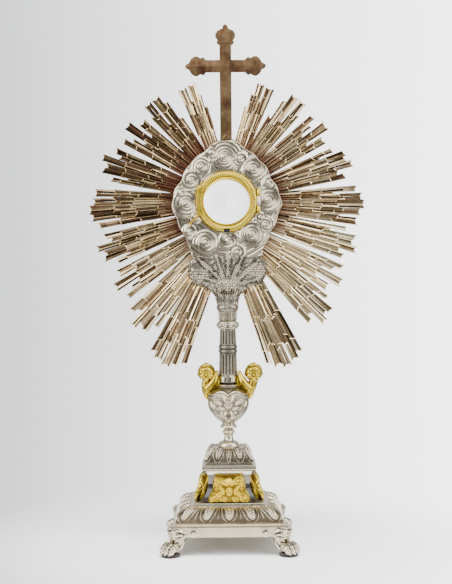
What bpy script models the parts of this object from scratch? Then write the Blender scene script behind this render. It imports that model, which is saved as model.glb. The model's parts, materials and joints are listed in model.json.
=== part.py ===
"""Altar monstrance: square footed base, turned stem with cherubs, sunburst glory, glazed lunette case.

Sizes are in millimetres and MM turns them into metres. +Z is up and the origin is on the floor under
the stem. The side with the hinged door and its latch faces -Y.
"""

import math

import bmesh
import bpy
from mathutils import Matrix, Vector

MM = 0.001
GAP = 0.3
ROUND_SIDES = 20
RING_SIDES = 32

# Levels from the floor up
FLOOR_PAD_TOP = 3.0
PLINTH_BOTTOM = 26.3
PLINTH_TOP = 68.0
PEDESTAL_TOP = 116.0
CAP_TOP = 146.8
STEM_FOOT_TOP = 184.4
URN_TOP = 244.0
COLUMN_TOP = 328.8
RING_TOP = 340.7
CAPITAL_TOP = 378.0
LUNETTE_Z = 525.1
CROSS_TOP = 800.0

# Base, as half widths of the square
PLINTH_HALF = 85.0
PLINTH_WALL = 3.0
PEDESTAL_HALF = 31.8
CAP_HALF = 41.1
PAW_CENTRE = 86.0
PAD_RADIUS = 14.0
# Bits of a paw's ear: distance in from the corner, half width, lower and upper level
EAR_BITS = ((5, 9, 25.0, 40.0), (20, 8, 23.0, 35.0), (33, 6.5, 24.5, 41.5))
CORNERS = {"door_left": (-1, -1), "door_right": (1, -1), "front_left": (-1, 1), "front_right": (1, 1)}

# Tie rod through the stem
ROD_RADIUS = 3.0
BORE = ROD_RADIUS + GAP
ROD_BOTTOM = 56.0
ROD_TOP = 375.5

# Lunette: everything round is turned about a line along Y through LUNETTE_Z
GLASS_CLEAR = 34.8
CASE_OUTER = 40.0
CASE_INNER = 38.5
CASE_HALF_DEPTH = 12.0
CASE_FLANGE = 45.0
DOOR_OUTER = 46.3
DOOR_BACK = CASE_HALF_DEPTH + GAP
DOOR_FRONT = 17.0
LUNA_OUTER = 37.9
GLASS_RADIUS = 37.2

# Hinge of the lunette door, and the latch arm that swings on it
HINGE_X = 48.9
HINGE_Y = -14.0
PIN_RADIUS = 1.2
PIN_BORE = 1.28
KNUCKLE_RADIUS = 2.3
KNUCKLE_HALF = 7.5
DOOR_KNUCKLE_FROM = 8.0
DOOR_KNUCKLE_TO = 18.0
LATCH_X = -40.0
LATCH_Z = LUNETTE_Z + 18.5
LATCH_SCREW = 2.0
LATCH_BORE = 2.08
LATCH_EYE = 6.4
LATCH_HEAD = 4.6
LATCH_ARM_INNER = 39.2
LATCH_ARM_OUTER = 46.6

# Glory: cloud plates on both sides of the rays
CLOUD_NEAR = 3.0
CLOUD_FAR = 10.0
CLOUD_HOLE = 41.0
CROSS_HALF_THICKNESS = 1.5
CROSS_SCREW_Z = 624.7

# Ray bundles fan out from an apex on the centre line. Each row: apex above the lunette's centre, angle
# right and left, root distance, root and tip width, longest blade, pattern, and whether the left bundle
# mirrors the right one.
RAY_BUNDLES = (
    (18, 70.5, 71.0, 60, 22, 38, 173, "pair", True),
    (18, 52.5, 51.8, 44, 21, 46, 181, "stepped_pair", True),
    (12, 34.7, 34.5, 50, 24, 52, 187, "trident", False),
    (4, 17.5, 17.4, 58, 24, 57, 203, "crown", False),
    (0, -1.9, -2.5, 60, 30, 64, 213, "wide", False),
    (-12, -16.2, -18.2, 60, 26, 54, 210, "crown", False),
    (-26, -29.3, -31.8, 50, 22, 50, 203, "trident", False),
    (-33, -43.8, -48.6, 50, 24, 57, 216, "crown", False),
    (-38, -66.8, -65.5, 60, 29, 62, 236, "long", True),
)
# Blades of each pattern, counter-clockwise: share of the width, and how much shorter than the longest
RAY_PATTERNS = {
    "pair": ((4.7, 2), (1.0, 25), (4.3, 0), (1.7, 18), (2.0, 40)),
    "stepped_pair": ((1.5, 20), (4.0, 0), (1.0, 44), (4.3, 0), (2.2, 15), (2.5, 48)),
    "trident": ((4.0, 16), (1.2, 40), (4.1, 0), (1.4, 38), (2.4, 20), (2.6, 9)),
    "crown": ((2.8, 17), (2.0, 25), (3.0, 0), (2.5, 9), (2.6, 6), (1.0, 45), (2.3, 23)),
    "wide": ((3.5, 11), (1.0, 35), (3.3, 6), (4.0, 0), (3.3, 4), (0.8, 45), (2.7, 13)),
    "long": ((2.2, 14), (0.8, 30), (3.2, 6), (3.0, 0), (0.8, 34), (3.0, 5), (2.4, 13)),
}
RAY_LAYER = 1.25
RAY_HALF_THICKNESS = 1.0
RAY_CUT = 2.5

# Half outline of the clouds, from the top to the spray: x, height over the lunette's centre
CLOUD_OUTLINE = (
    (10, 95), (22, 89), (33, 80), (42, 73), (51, 65), (59, 57), (65, 46), (71, 33), (78, 22),
    (83, 10), (85, -3), (82, -17), (77, -30), (71, -44), (65, -57), (58, -69), (54, -84.5),
)
# Half outline of the wheat and grape spray: x, height
SPRAY_OUTLINE = (
    (53, 439.7), (59, 431), (59, 417), (57, 405), (50, 398), (41, 395.5), (32, 393), (25, 386), (17, 378.4),
)

SILVER = ("silver_plate", (0.72, 0.70, 0.66), 0.32, 1.0)
DARK_SILVER = ("oxidised_silver", (0.42, 0.42, 0.42), 0.38, 1.0)
GILT = ("gilding", (0.84, 0.66, 0.24), 0.30, 1.0)
RAY_BRASS = ("pale_ray_brass", (0.76, 0.64, 0.46), 0.26, 1.0)
CROSS_BRASS = ("tarnished_brass", (0.40, 0.31, 0.18), 0.50, 1.0)
STEEL = ("rod_steel", (0.55, 0.55, 0.56), 0.40, 1.0)
FELT = ("dark_pad", (0.06, 0.04, 0.035), 0.90, 0.0)
BLACK = ("black_block", (0.02, 0.02, 0.02), 0.60, 0.0)
GLASS = ("clear_glass", (0.90, 0.93, 0.93), 0.05, 0.0)


def start_empty():
    """Removes the scene's objects and makes the two collections."""
    for item in list(bpy.data.objects):
        bpy.data.objects.remove(item, do_unlink=True)
    for title in ("monstrance", "cutters"):
        bpy.context.scene.collection.children.link(bpy.data.collections.new(title))


def material(finish):
    """The Principled material of a finish, made once."""
    title, colour, roughness, metallic = finish
    found = bpy.data.materials.get(title)
    if found:
        return found
    made = bpy.data.materials.new(title)
    made.use_nodes = True
    shader = made.node_tree.nodes["Principled BSDF"]
    shader.inputs["Base Color"].default_value = (*colour, 1.0)
    shader.inputs["Roughness"].default_value = roughness
    shader.inputs["Metallic"].default_value = metallic
    return made


def place(item, finish, hidden=False):
    """Puts an object in the parts collection, or among the cutters."""
    for holder in list(item.users_collection):
        holder.objects.unlink(item)
    bpy.data.collections["cutters" if hidden else "monstrance"].objects.link(item)
    if hidden:
        item.hide_render = True
        item.display_type = "WIRE"
    else:
        item.data.materials.append(material(finish))
    return item


def mesh_object(name, work, finish, hidden=False):
    """An object from a bmesh whose sizes are already in metres."""
    data = bpy.data.meshes.new(name)
    work.to_mesh(data)
    work.free()
    data.shade_smooth()
    data.set_sharp_from_angle(angle=math.radians(35))
    return place(bpy.data.objects.new(name, data), finish, hidden)


def box(name, low, high, finish=None, hidden=True):
    """A box between two corners."""
    work = bmesh.new()
    centre = [(a + b) / 2 * MM for a, b in zip(low, high)]
    size = [(b - a) * MM for a, b in zip(low, high)]
    stretch = Matrix.Translation(centre) @ Matrix.Diagonal((*size, 1.0))
    bmesh.ops.create_cube(work, size=1.0, matrix=stretch)
    return mesh_object(name, work, finish, hidden)


def ball(name, centre, radii, finish=None, hidden=True, turn=None, rings=7):
    """An ellipsoid with three radii, turned by a rotation matrix."""
    work = bmesh.new()
    shape = Matrix.Translation([c * MM for c in centre])
    shape = shape @ (turn or Matrix.Identity(4)) @ Matrix.Diagonal((*[r * MM for r in radii], 1.0))
    bmesh.ops.create_uvsphere(work, u_segments=2 * rings, v_segments=rings, radius=1.0, matrix=shape)
    return mesh_object(name, work, finish, hidden)


def rod(name, start, end, radius, finish=None, hidden=True, sides=16, end_radius=None):
    """A straight round or many-sided bar between two points, tapered if end_radius is given."""
    run = [(b - a) * MM for a, b in zip(start, end)]
    length = math.sqrt(sum(part * part for part in run))
    middle = [(a + b) / 2 * MM for a, b in zip(start, end)]
    aim = Matrix.Identity(3)
    aim.col[2] = [part / length for part in run]
    side = (0.0, 1.0, 0.0) if abs(run[1]) < 0.9 * length else (1.0, 0.0, 0.0)
    aim.col[0] = aim.col[2].cross(Vector(side)).normalized()
    aim.col[1] = aim.col[2].cross(aim.col[0]).normalized()
    work = bmesh.new()
    bmesh.ops.create_cone(
        work, cap_ends=True, segments=sides, radius1=radius * MM,
        radius2=(radius if end_radius is None else end_radius) * MM, depth=length,
        matrix=Matrix.Translation(middle) @ aim.to_4x4(),
    )
    return mesh_object(name, work, finish, hidden)


def turned(name, profile, finish=None, sides=ROUND_SIDES, hidden=False):
    """A closed profile of (radius, height), swept round the Z axis. It runs down the outside first."""
    data = bpy.data.meshes.new(name)
    points = [(radius * MM, 0.0, height * MM) for radius, height in profile]
    edges = [(i, (i + 1) % len(points)) for i in range(len(points))]
    data.from_pydata(points, edges, [])
    item = place(bpy.data.objects.new(name, data), finish, hidden)
    screw = item.modifiers.new("turn", "SCREW")
    screw.steps = sides
    screw.render_steps = sides
    screw.use_merge_vertices = True
    screw.merge_threshold = 0.00001
    screw.use_smooth_shade = sides > 4
    return item


def square(name, profile, finish):
    """A square moulding: the profile's radii are half widths, mitred at four corners."""
    corner = math.sqrt(2.0)
    item = turned(name, [(half * corner, height) for half, height in profile], finish, sides=4)
    item.rotation_euler.z = math.radians(45)
    return item


def face_turned(name, profile, finish, x=0.0, z=LUNETTE_Z, sides=RING_SIDES, hidden=False):
    """A turned piece whose axis points at the door side: the profile's heights are distances to -Y."""
    item = turned(name, profile, finish, sides, hidden)
    item.rotation_euler.x = math.radians(90)
    item.location = (x * MM, 0.0, z * MM)
    return item


def plate(name, outlines, y_low, y_high, finish=None, hidden=False):
    """A flat plate across Y from closed outlines of (x, z). Later outlines are holes."""
    curve = bpy.data.curves.new(name, "CURVE")
    curve.dimensions = "2D"
    curve.fill_mode = "BOTH"
    curve.extrude = (y_high - y_low) / 2 * MM
    for outline in outlines:
        spline = curve.splines.new("POLY")
        spline.points.add(len(outline) - 1)
        for point, (x, z) in zip(spline.points, outline):
            point.co = (x * MM, z * MM, 0.0, 1.0)
        spline.use_cyclic_u = True
    guide = bpy.data.objects.new(name + "_outline", curve)
    bpy.context.scene.collection.objects.link(guide)
    guide.rotation_euler.x = math.radians(90)
    guide.location.y = (y_low + y_high) / 2 * MM
    bpy.context.view_layer.update()
    shape = guide.evaluated_get(bpy.context.evaluated_depsgraph_get())
    data = bpy.data.meshes.new_from_object(shape)
    data.name = name
    work = bmesh.new()
    work.from_mesh(data)
    bmesh.ops.remove_doubles(work, verts=work.verts, dist=0.000001)
    work.to_mesh(data)
    work.free()
    item = bpy.data.objects.new(name, data)
    item.matrix_world = guide.matrix_world
    bpy.data.objects.remove(guide, do_unlink=True)
    return place(item, finish, hidden)


def combine(item, operation, others):
    """Boolean modifiers, one for each other object."""
    for other in others:
        step = item.modifiers.new(other.name, "BOOLEAN")
        step.operation = operation
        step.solver = "EXACT"
        step.object = other
    return item


def arc(start, end, bulge, steps=6):
    """Quarter-ellipse points from start to end, without start. Bulge 1 leaves start upright, 0 flat."""
    points = []
    for step in range(1, steps + 1):
        turn = math.radians(90) * step / steps
        first = 1 - math.cos(turn)
        second = math.sin(turn)
        across, up = (first, second) if bulge else (second, first)
        points.append((start[0] + (end[0] - start[0]) * across, start[1] + (end[1] - start[1]) * up))
    return points


def ring_points(radius, x=0.0, z=0.0, sides=RING_SIDES):
    """Points of a circle, for a hole in a plate."""
    turns = [2 * math.pi * step / sides for step in range(sides)]
    return [(x + radius * math.cos(turn), z + radius * math.sin(turn)) for turn in turns]


def mirrored(half):
    """A whole outline from its right half, which runs from top to bottom."""
    return [(-x, z) for x, z in half] + [(x, z) for x, z in reversed(half)]


# ---- base -----------------------------------------------------------------------------------------

def foot_pads():
    """A thin dark disc under each paw."""
    for corner, (side_x, side_y) in CORNERS.items():
        centre = (side_x * PAW_CENTRE, side_y * PAW_CENTRE)
        rod("foot_pad_" + corner, (*centre, 0.0), (*centre, FLOOR_PAD_TOP), PAD_RADIUS, FELT, False, 24)


def paw_foot(corner, side_x, side_y):
    """A lion paw with its leg, notched to hold the plinth's corner, and a scroll ear on each face."""
    name = "paw_foot_" + corner
    outward = math.atan2(side_y, side_x)
    turn = Matrix.Rotation(outward, 4, "Z")

    def along(distance, across=0.0):
        """A plan point, by distance from the centre along the diagonal and across it."""
        x = distance * math.cos(outward) - across * math.sin(outward)
        y = distance * math.sin(outward) + across * math.cos(outward)
        return x, y

    paw_run = PAW_CENTRE * math.sqrt(2.0)
    base = FLOOR_PAD_TOP + GAP
    paw = ball(name, (*along(paw_run - 1), base + 6), (14.5, 13.5, 10), SILVER, False, turn, rings=6)
    extras = []
    for index, across in enumerate((-8.5, -2.9, 2.9, 8.5)):
        reach = 7.5 if index in (1, 2) else 5.0
        place = (*along(paw_run + reach, across), base + 4.5)
        toe = ball(f"{name}_toe_{index}", place, (5.5, 3.6, 5.6), turn=turn, rings=5)
        extras.append(toe)
    extras.append(rod(name + "_leg", (*along(paw_run - 9), base + 6), (*along(paw_run - 19), 28), 8,
                      end_radius=12, sides=12))
    extras.append(ball(name + "_knee", (*along(paw_run - 8), 32), (10, 11, 11), turn=turn, rings=6))
    for axis in (0, 1):
        reach = (side_x, side_y)[1 - axis]
        signs = (side_x, side_y)[axis]
        for bit, (inset, half, low, high) in enumerate(EAR_BITS):
            middle = signs * (PLINTH_HALF - inset)
            face = reach * (PLINTH_HALF - 1.0)
            outer = reach * (PLINTH_HALF + 3.2 - 0.3 * bit)
            flat = (middle, (face + outer) / 2, (low + high) / 2)
            radii = (half, abs(outer - face) / 2 + 1.5, (high - low) / 2)
            if axis:
                flat = (flat[1], flat[0], flat[2])
                radii = (radii[1], radii[0], radii[2])
            extras.append(ball(f"{name}_ear_{axis}{bit}", flat, radii, rings=5))
    combine(paw, "UNION", extras)
    room = PLINTH_HALF + GAP
    below = box(name + "_floor", (-150, -150, -30), (150, 150, base))
    corner_room = box(name + "_notch", (-room, -room, PLINTH_BOTTOM - GAP), (room, room, 90))
    return combine(paw, "DIFFERENCE", [below, corner_room])


def base_plinth():
    """Hollow square casting: plain band, fillet, leaf ovolo and a top plate."""
    outer = [(BORE, PLINTH_TOP), (58.7, PLINTH_TOP), (58.7, 64.3)]
    outer += [point for point in reversed(arc((78.6, 46.0), (58.7, 64.3), 1))][1:]
    outer += [(78.6, 46.0), (82.0, 45.6), (82.0, 42.0), (PLINTH_HALF, 41.9), (PLINTH_HALF, PLINTH_BOTTOM)]
    wall = PLINTH_HALF - PLINTH_WALL
    inner = [(wall, PLINTH_BOTTOM), (wall - 3, 43.0), (75.6, 45.5)]
    inner += arc((75.6, 45.5), (56.0, 62.0), 1)
    inner += [(56.0, PLINTH_TOP - PLINTH_WALL), (BORE, PLINTH_TOP - PLINTH_WALL)]
    square("base_plinth", outer + inner, SILVER)


def pedestal_profile(offset):
    """Cavetto and block of the pedestal, bottom to top, moved in by offset."""
    foot = (52.7 - offset, 70.0 - 0.3 * offset)
    return [foot] + arc(foot, (PEDESTAL_HALF - offset, 95.2), 0)


def base_pedestal():
    """Hollow square pedestal: cavetto, plain block and a flared frieze."""
    outer = [(BORE, PEDESTAL_TOP), (34.8, PEDESTAL_TOP), (34.8, 114.5), (32.3, 108.8),
             (PEDESTAL_HALF, 108.6)]
    outer += list(reversed(pedestal_profile(0.0)))
    outer += [(53.5, 70.0), (53.5, PLINTH_TOP + GAP)]
    inner = [(50.2, PLINTH_TOP + GAP)] + pedestal_profile(2.5)
    inner += [(29.3, PEDESTAL_TOP - 2.5), (BORE, PEDESTAL_TOP - 2.5)]
    square("base_pedestal", outer + inner, DARK_SILVER)


def cartouche_profile():
    """Side of a cartouche as (distance out, height): its back lies on the pedestal, its front bulges."""
    back = [point for point in pedestal_profile(-GAP) if point[1] > 71.5]
    back = [(50.4, 71.5)] + back + [(PEDESTAL_HALF + GAP, 108.2)]
    front = [(38.6, 108.2), (42.5, 103.5), (45.0, 96.0), (46.6, 89.0), (48.6, 82.0), (51.8, 76.0),
             (53.4, 72.5)]
    return back + front


def cartouches():
    """Four gilt relief shields, one on each face of the pedestal."""
    front_half = [(14, 108), (22, 106), (23, 98), (22, 90), (25, 84), (30.5, 78), (30, 71.6), (12, 71.0)]
    for index, side in enumerate(("door_side", "right_side", "front_side", "left_side")):
        name = "cartouche_" + side
        body = plate(name, [[(-out, up) for out, up in cartouche_profile()]], -32, 32, GILT)
        body.matrix_world = Matrix.Rotation(math.radians(90 * (index + 1)), 4, "Z") @ body.matrix_world
        shape = plate(name + "_shape", [mirrored(front_half)], -60, -30, hidden=True)
        shape.matrix_world = Matrix.Rotation(math.radians(90 * index), 4, "Z") @ shape.matrix_world
        combine(body, "INTERSECT", [shape])


def base_cap():
    """Hollow square cap: two fillets and a leaf dome."""
    outer = [(BORE, CAP_TOP), (22.4, CAP_TOP)]
    outer += [point for point in reversed(arc((35.1, 126.7), (22.4, CAP_TOP), 1))][1:]
    outer += [(35.1, 126.7), (35.8, 126.0), (35.8, 123.2), (40.0, 122.4), (CAP_HALF, 121.0)]
    outer += [(CAP_HALF, 118.0), (40.2, PEDESTAL_TOP + GAP)]
    inner = [(32.8, PEDESTAL_TOP + GAP), (32.6, 126.5)] + arc((32.6, 126.5), (19.9, CAP_TOP - 2.6), 1)
    inner += [(BORE, CAP_TOP - 2.6)]
    square("base_cap", outer + inner, SILVER)


# ---- stem -----------------------------------------------------------------------------------------

def stem_foot():
    """Round plate, neck and two beads under the urn."""
    low = CAP_TOP + GAP
    turned("stem_foot", [
        (9.3, STEM_FOOT_TOP), (11.2, 181.3), (12.8, 179.0), (12.8, 177.4), (6.6, 175.1), (7.7, 172.8),
        (9.3, 169.7),
        (7.0, 165.8), (7.3, 162.0), (8.9, 156.4), (14.5, 154.5), (16.1, 151.0), (16.1, low), (BORE, low),
        (BORE, STEM_FOOT_TOP),
    ], SILVER)


def knop_urn():
    """Hollow urn-shaped knop, open at both ends only round the tie rod."""
    low = STEM_FOOT_TOP + GAP
    turned("knop_urn", [
        (12.5, URN_TOP), (13.9, 242.3), (20.0, 239.2), (24.0, 235.4), (28.6, 231.5), (30.9, 226.9),
        (31.3, 219.0),
        (30.9, 211.4), (27.8, 203.7), (22.0, 196.0), (17.8, 191.3), (13.5, 187.5), (9.3, low), (BORE, low),
        (BORE, 187.0), (12.0, 189.6), (20.3, 198.0), (28.6, 211.0), (28.6, 226.5), (22.0, 234.0),
        (12.0, 239.6),
        (BORE, 241.5), (BORE, URN_TOP),
    ], SILVER)


def stem_column():
    """Fluted column with its drum below and a double band near the top."""
    low = URN_TOP + GAP
    turned("stem_column", [
        (12.0, COLUMN_TOP), (13.1, 304.2), (14.6, 302.5), (14.6, 299.5), (13.3, 298.0), (14.6, 296.5),
        (14.6, 293.0), (13.2, 291.5), (13.9, 273.0), (13.9, 257.0), (12.0, 252.0), (12.0, low), (BORE, low),
        (BORE, COLUMN_TOP),
    ], SILVER)


def stem_ring():
    """Beaded ring between the column and the capital."""
    low = COLUMN_TOP + GAP
    turned("stem_ring", [
        (14.0, RING_TOP), (16.4, 338.5), (17.0, 335.0), (16.4, 331.5), (14.0, low), (BORE, low),
        (BORE, RING_TOP),
    ], SILVER)


def capital():
    """Leafy neck, ring and the cup of stalks that the spray grows from."""
    low = RING_TOP + GAP
    turned("capital", [
        (18.5, CAPITAL_TOP), (15.9, 373.6), (15.5, 369.0), (16.0, 365.3), (16.5, 363.0), (16.5, 360.0),
        (15.5, 358.0), (13.4, 354.5), (13.4, 342.5), (12.5, low), (BORE, low), (BORE, 366.0), (12.5, 366.0),
        (16.5, CAPITAL_TOP),
    ], SILVER)


def cherub(name, side, reach):
    """A winged cherub's head with a tapering tail that lies against the urn's shoulder."""
    head = ball(name, (side * reach, 0, 261), (12.5, 12.5, 13.5), GILT, False)
    tail = rod(name + "_tail", (side * (reach + 1), -1, 254), (side * 34.6, -1, 224), 7.5, end_radius=3.0,
               sides=12)
    lean = Matrix.Rotation(math.radians(side * -27), 4, "Y")
    wings = []
    for face in (-1, 1):
        place = (side * (reach - 8.0), face * 5.0, 250.5)
        wing = ball(f"{name}_wing_{face}", place, (6.0, 4.5, 14), turn=lean, rings=5)
        wings.append(wing)
    return combine(head, "UNION", [tail] + wings)


def tie_rod_and_nut():
    """The threaded rod that clamps base and stem, and the nut under the plinth's top plate."""
    rod("tie_rod", (0, 0, ROD_BOTTOM), (0, 0, ROD_TOP), ROD_RADIUS, STEEL, False, 16)
    under = PLINTH_TOP - PLINTH_WALL - GAP
    nut = rod("tie_rod_nut", (0, 0, under - 5.5), (0, 0, under), 6.5, STEEL, False, 6)
    combine(nut, "DIFFERENCE", [rod("nut_bore", (0, 0, 50), (0, 0, 70), BORE)])


def glory_strap():
    """Boss on the tie rod's end with a flat strap that carries the lunette case."""
    boss_top = CAPITAL_TOP - 0.1
    strap = box("glory_strap", (-6, -2.4, boss_top - 4), (6, 2.4, LUNETTE_Z - CASE_OUTER - 0.5), STEEL,
                False)
    boss = rod("strap_boss", (0, 0, 366.0 + GAP), (0, 0, boss_top), 9.0, sides=24)
    combine(strap, "UNION", [boss])
    combine(strap, "DIFFERENCE", [rod("strap_bore", (0, 0, 360), (0, 0, ROD_TOP + 1), BORE)])


# ---- glory ----------------------------------------------------------------------------------------

def bundle_outline(side, bundle):
    """Outline of one ray bundle: blades of stepped length that spread from a narrow root."""
    apex, angle_right, angle_left, root, root_width, tip_width, longest, pattern, mirrored_left = bundle
    angle = math.radians(angle_right if side > 0 else angle_left)
    blades = RAY_PATTERNS[pattern]
    if side > 0 or mirrored_left:
        blades = blades[::-1]
    total = sum(share for share, _ in blades)

    def point(distance, share):
        """A point by distance from the apex and share of the width, -0.5 lower to 0.5 upper."""
        width = root_width + (tip_width - root_width) * (distance - root) / (longest - root)
        across = share * width
        x = distance * math.cos(angle) - across * math.sin(angle)
        z = distance * math.sin(angle) + across * math.cos(angle)
        return side * x, LUNETTE_Z + apex + z

    outline = [point(root, 0.5)]
    upper = 0.5
    for share, shortfall in blades:
        lower = upper - share / total
        outline.append(point(longest - shortfall - RAY_CUT, upper))
        outline.append(point(longest - shortfall, lower))
        upper = lower
    outline.append(point(root, -0.5))
    return outline


def ray_bundles():
    """Nine bundles of rays on each side. Neighbours lie in two layers, so their roots can cross."""
    for side, hand in ((1, "right"), (-1, "left")):
        for index, bundle in enumerate(RAY_BUNDLES):
            layer = RAY_LAYER if index % 2 else -RAY_LAYER
            plate(f"ray_{hand}_{index + 1}", [bundle_outline(side, bundle)], layer - RAY_HALF_THICKNESS,
                  layer + RAY_HALF_THICKNESS, RAY_BRASS)


def cloud_plates():
    """Cloud plate on each side of the rays, with the lunette's hole. The front one backs the cross."""
    half = [(x, LUNETTE_Z + up) for x, up in CLOUD_OUTLINE]
    hole = ring_points(CLOUD_HOLE, 0.0, LUNETTE_Z)
    door = plate("clouds_door_side", [mirrored(half), hole], -CLOUD_FAR, -CLOUD_NEAR, SILVER)
    tongue = [(8.0, CROSS_SCREW_Z + 9), (8.5, CROSS_SCREW_Z + 1)]
    screw_hole = ring_points(LATCH_BORE + 0.3, 0.0, CROSS_SCREW_Z, 16)
    front = plate("clouds_front_side", [mirrored(tongue + half), hole, screw_hole], CLOUD_NEAR, CLOUD_FAR,
                  SILVER)
    return door, front


def sprays():
    """Wheat and grape spray under the clouds, one on each side of the strap."""
    sides = (("spray_door_side", -CLOUD_FAR, -CLOUD_NEAR), ("spray_front_side", CLOUD_NEAR, CLOUD_FAR))
    for name, low, high in sides:
        plate(name, [mirrored(SPRAY_OUTLINE)], low, high, SILVER)


def cross_outline():
    """Right half of a Latin cross with three budded ends, from the top down."""
    stem = 9.0
    arm_z = CROSS_TOP - 65.0
    arm_half = 9.5
    top_bud = [(2.5, CROSS_TOP), (4.5, CROSS_TOP - 7), (12.5, CROSS_TOP - 10), (16.0, CROSS_TOP - 16),
               (14.5, CROSS_TOP - 22), (11.5, CROSS_TOP - 25), (14.5, CROSS_TOP - 28), (stem, CROSS_TOP - 33)]
    tip = 63.0
    side_bud = [(tip - 33, arm_z + arm_half), (tip - 28, arm_z + 15), (tip - 25, arm_z + 12),
                (tip - 20, arm_z + 15),
                (tip - 13, arm_z + 14.5), (tip - 8, arm_z + 9), (tip - 5, arm_z + 4.5)]
    lower = [(x, 2 * arm_z - z) for x, z in reversed(side_bud)]
    return top_bud + [(stem, arm_z + arm_half)] + side_bud + [(tip, arm_z)] + lower + [
        (stem, arm_z - arm_half), (stem, 599.0)]


def cross_and_screw():
    """Flat brass cross, and the screw that holds its foot to the front cloud plate."""
    hole = ring_points(LATCH_BORE + 0.3, 0.0, CROSS_SCREW_Z, 16)
    plate("cross", [mirrored(cross_outline()), hole], -CROSS_HALF_THICKNESS, CROSS_HALF_THICKNESS,
          CROSS_BRASS)
    head = CROSS_HALF_THICKNESS + GAP
    screw = rod("cross_screw", (0, -head - 2.2, CROSS_SCREW_Z), (0, -head, CROSS_SCREW_Z), 3.6, CROSS_BRASS,
                False, 20, end_radius=4.5)
    shank = rod("cross_screw_shank", (0, -head - 1, CROSS_SCREW_Z), (0, 8, CROSS_SCREW_Z), LATCH_SCREW)
    combine(screw, "UNION", [shank])


# ---- lunette --------------------------------------------------------------------------------------

def knuckle(name, low, high):
    """A hinge barrel on the hinge line between two heights."""
    start = (HINGE_X, HINGE_Y, LUNETTE_Z + low)
    end = (HINGE_X, HINGE_Y, LUNETTE_Z + high)
    return rod(name, start, end, KNUCKLE_RADIUS, sides=20)


def pin_hole(name):
    """Cutter for the bore through the hinge barrels."""
    start = (HINGE_X, HINGE_Y, LUNETTE_Z - 30)
    end = (HINGE_X, HINGE_Y, LUNETTE_Z + 30)
    return rod(name, start, end, PIN_BORE, sides=20)


def lunette_case():
    """Round case between the cloud plates, with a door flange, a glass lip and the fixed hinge barrel."""
    lip = CASE_HALF_DEPTH - 1.5
    case = face_turned("lunette_case", [
        (CASE_FLANGE, CASE_HALF_DEPTH), (CASE_FLANGE, CLOUD_FAR + GAP), (CASE_OUTER, CLOUD_FAR + GAP),
        (CASE_OUTER, -CASE_HALF_DEPTH), (35.5, -CASE_HALF_DEPTH), (35.5, -lip), (CASE_INNER, -lip),
        (CASE_INNER, CASE_HALF_DEPTH),
    ], GILT)
    leaf = box("case_leaf", (CASE_FLANGE - 3, -CASE_HALF_DEPTH, LUNETTE_Z - KNUCKLE_HALF),
               (HINGE_X + 1.5, -CLOUD_FAR - GAP - 0.1, LUNETTE_Z + KNUCKLE_HALF))
    barrel = knuckle("case_knuckle", -KNUCKLE_HALF, KNUCKLE_HALF)
    combine(case, "UNION", [leaf, barrel])
    return combine(case, "DIFFERENCE", [pin_hole("case_pin_hole")])


def front_bezel_and_glass():
    """Screwed bezel on the front of the case, and the fixed glass that it holds."""
    near = -CASE_HALF_DEPTH - GAP
    face_turned("front_bezel", [
        (41.5, near), (44.0, near - 0.8), (44.0, near - 2.4), (41.0, near - 3.7), (GLASS_CLEAR, near - 3.7),
        (GLASS_CLEAR, near - 2.6), (GLASS_RADIUS + GAP, near - 2.6), (GLASS_RADIUS + GAP, near),
    ], GILT)
    glass_disc("front_glass", near - 2.3, near - 0.3)


def glass_disc(name, back, front):
    """A round pane between two distances towards the door side."""
    return rod(name, (0, -back, LUNETTE_Z), (0, -front, LUNETTE_Z), GLASS_RADIUS, GLASS, False, RING_SIDES)


def door():
    """Gilt door ring with a groove for its glass, two hinge barrels, a screw boss and a notch below."""
    ring = face_turned("door_ring", [
        (44.6, DOOR_FRONT), (DOOR_OUTER, DOOR_FRONT - 1.8), (DOOR_OUTER, DOOR_BACK), (36.2, DOOR_BACK),
        (36.2, 13.0), (GLASS_RADIUS + GAP, 13.0), (GLASS_RADIUS + GAP, 15.2), (GLASS_CLEAR, 15.2),
        (GLASS_CLEAR, 16.2), (37.0, 16.6), (37.6, 16.0), (38.4, DOOR_FRONT),
    ], GILT)
    boss = rod("door_boss", (LATCH_X, -DOOR_FRONT, LATCH_Z), (LATCH_X, -DOOR_BACK, LATCH_Z), 5.5, sides=24)
    extras = [boss]
    barrels = (("top", DOOR_KNUCKLE_FROM, DOOR_KNUCKLE_TO), ("low", -DOOR_KNUCKLE_TO, -DOOR_KNUCKLE_FROM))
    for label, low, high in barrels:
        extras.append(knuckle("door_knuckle_" + label, low, high))
        extras.append(box("door_leaf_" + label, (40.0, HINGE_Y - 1.6, LUNETTE_Z + low),
                          (HINGE_X - 1.6, -DOOR_BACK - 0.2, LUNETTE_Z + high)))
    combine(ring, "UNION", extras)
    notch = box("door_notch", (-4.6, -20, LUNETTE_Z - 50), (4.6, -5, LUNETTE_Z - 41.8))
    screw_hole = rod("door_screw_hole", (LATCH_X, -20, LATCH_Z), (LATCH_X, -13.5, LATCH_Z),
                     LATCH_SCREW + GAP)
    combine(ring, "DIFFERENCE", [pin_hole("door_pin_hole"), notch, screw_hole])
    glass_disc("door_glass", 13.3, 14.9)
    pivot = bpy.data.objects.new("door_pivot", None)
    pivot.location = (HINGE_X * MM, HINGE_Y * MM, LUNETTE_Z * MM)
    bpy.data.collections["monstrance"].objects.link(pivot)
    bpy.context.view_layer.update()
    for name in ("door_ring", "door_glass"):
        child = bpy.data.objects[name]
        child.parent = pivot
        child.matrix_parent_inverse = pivot.matrix_world.inverted()


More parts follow.
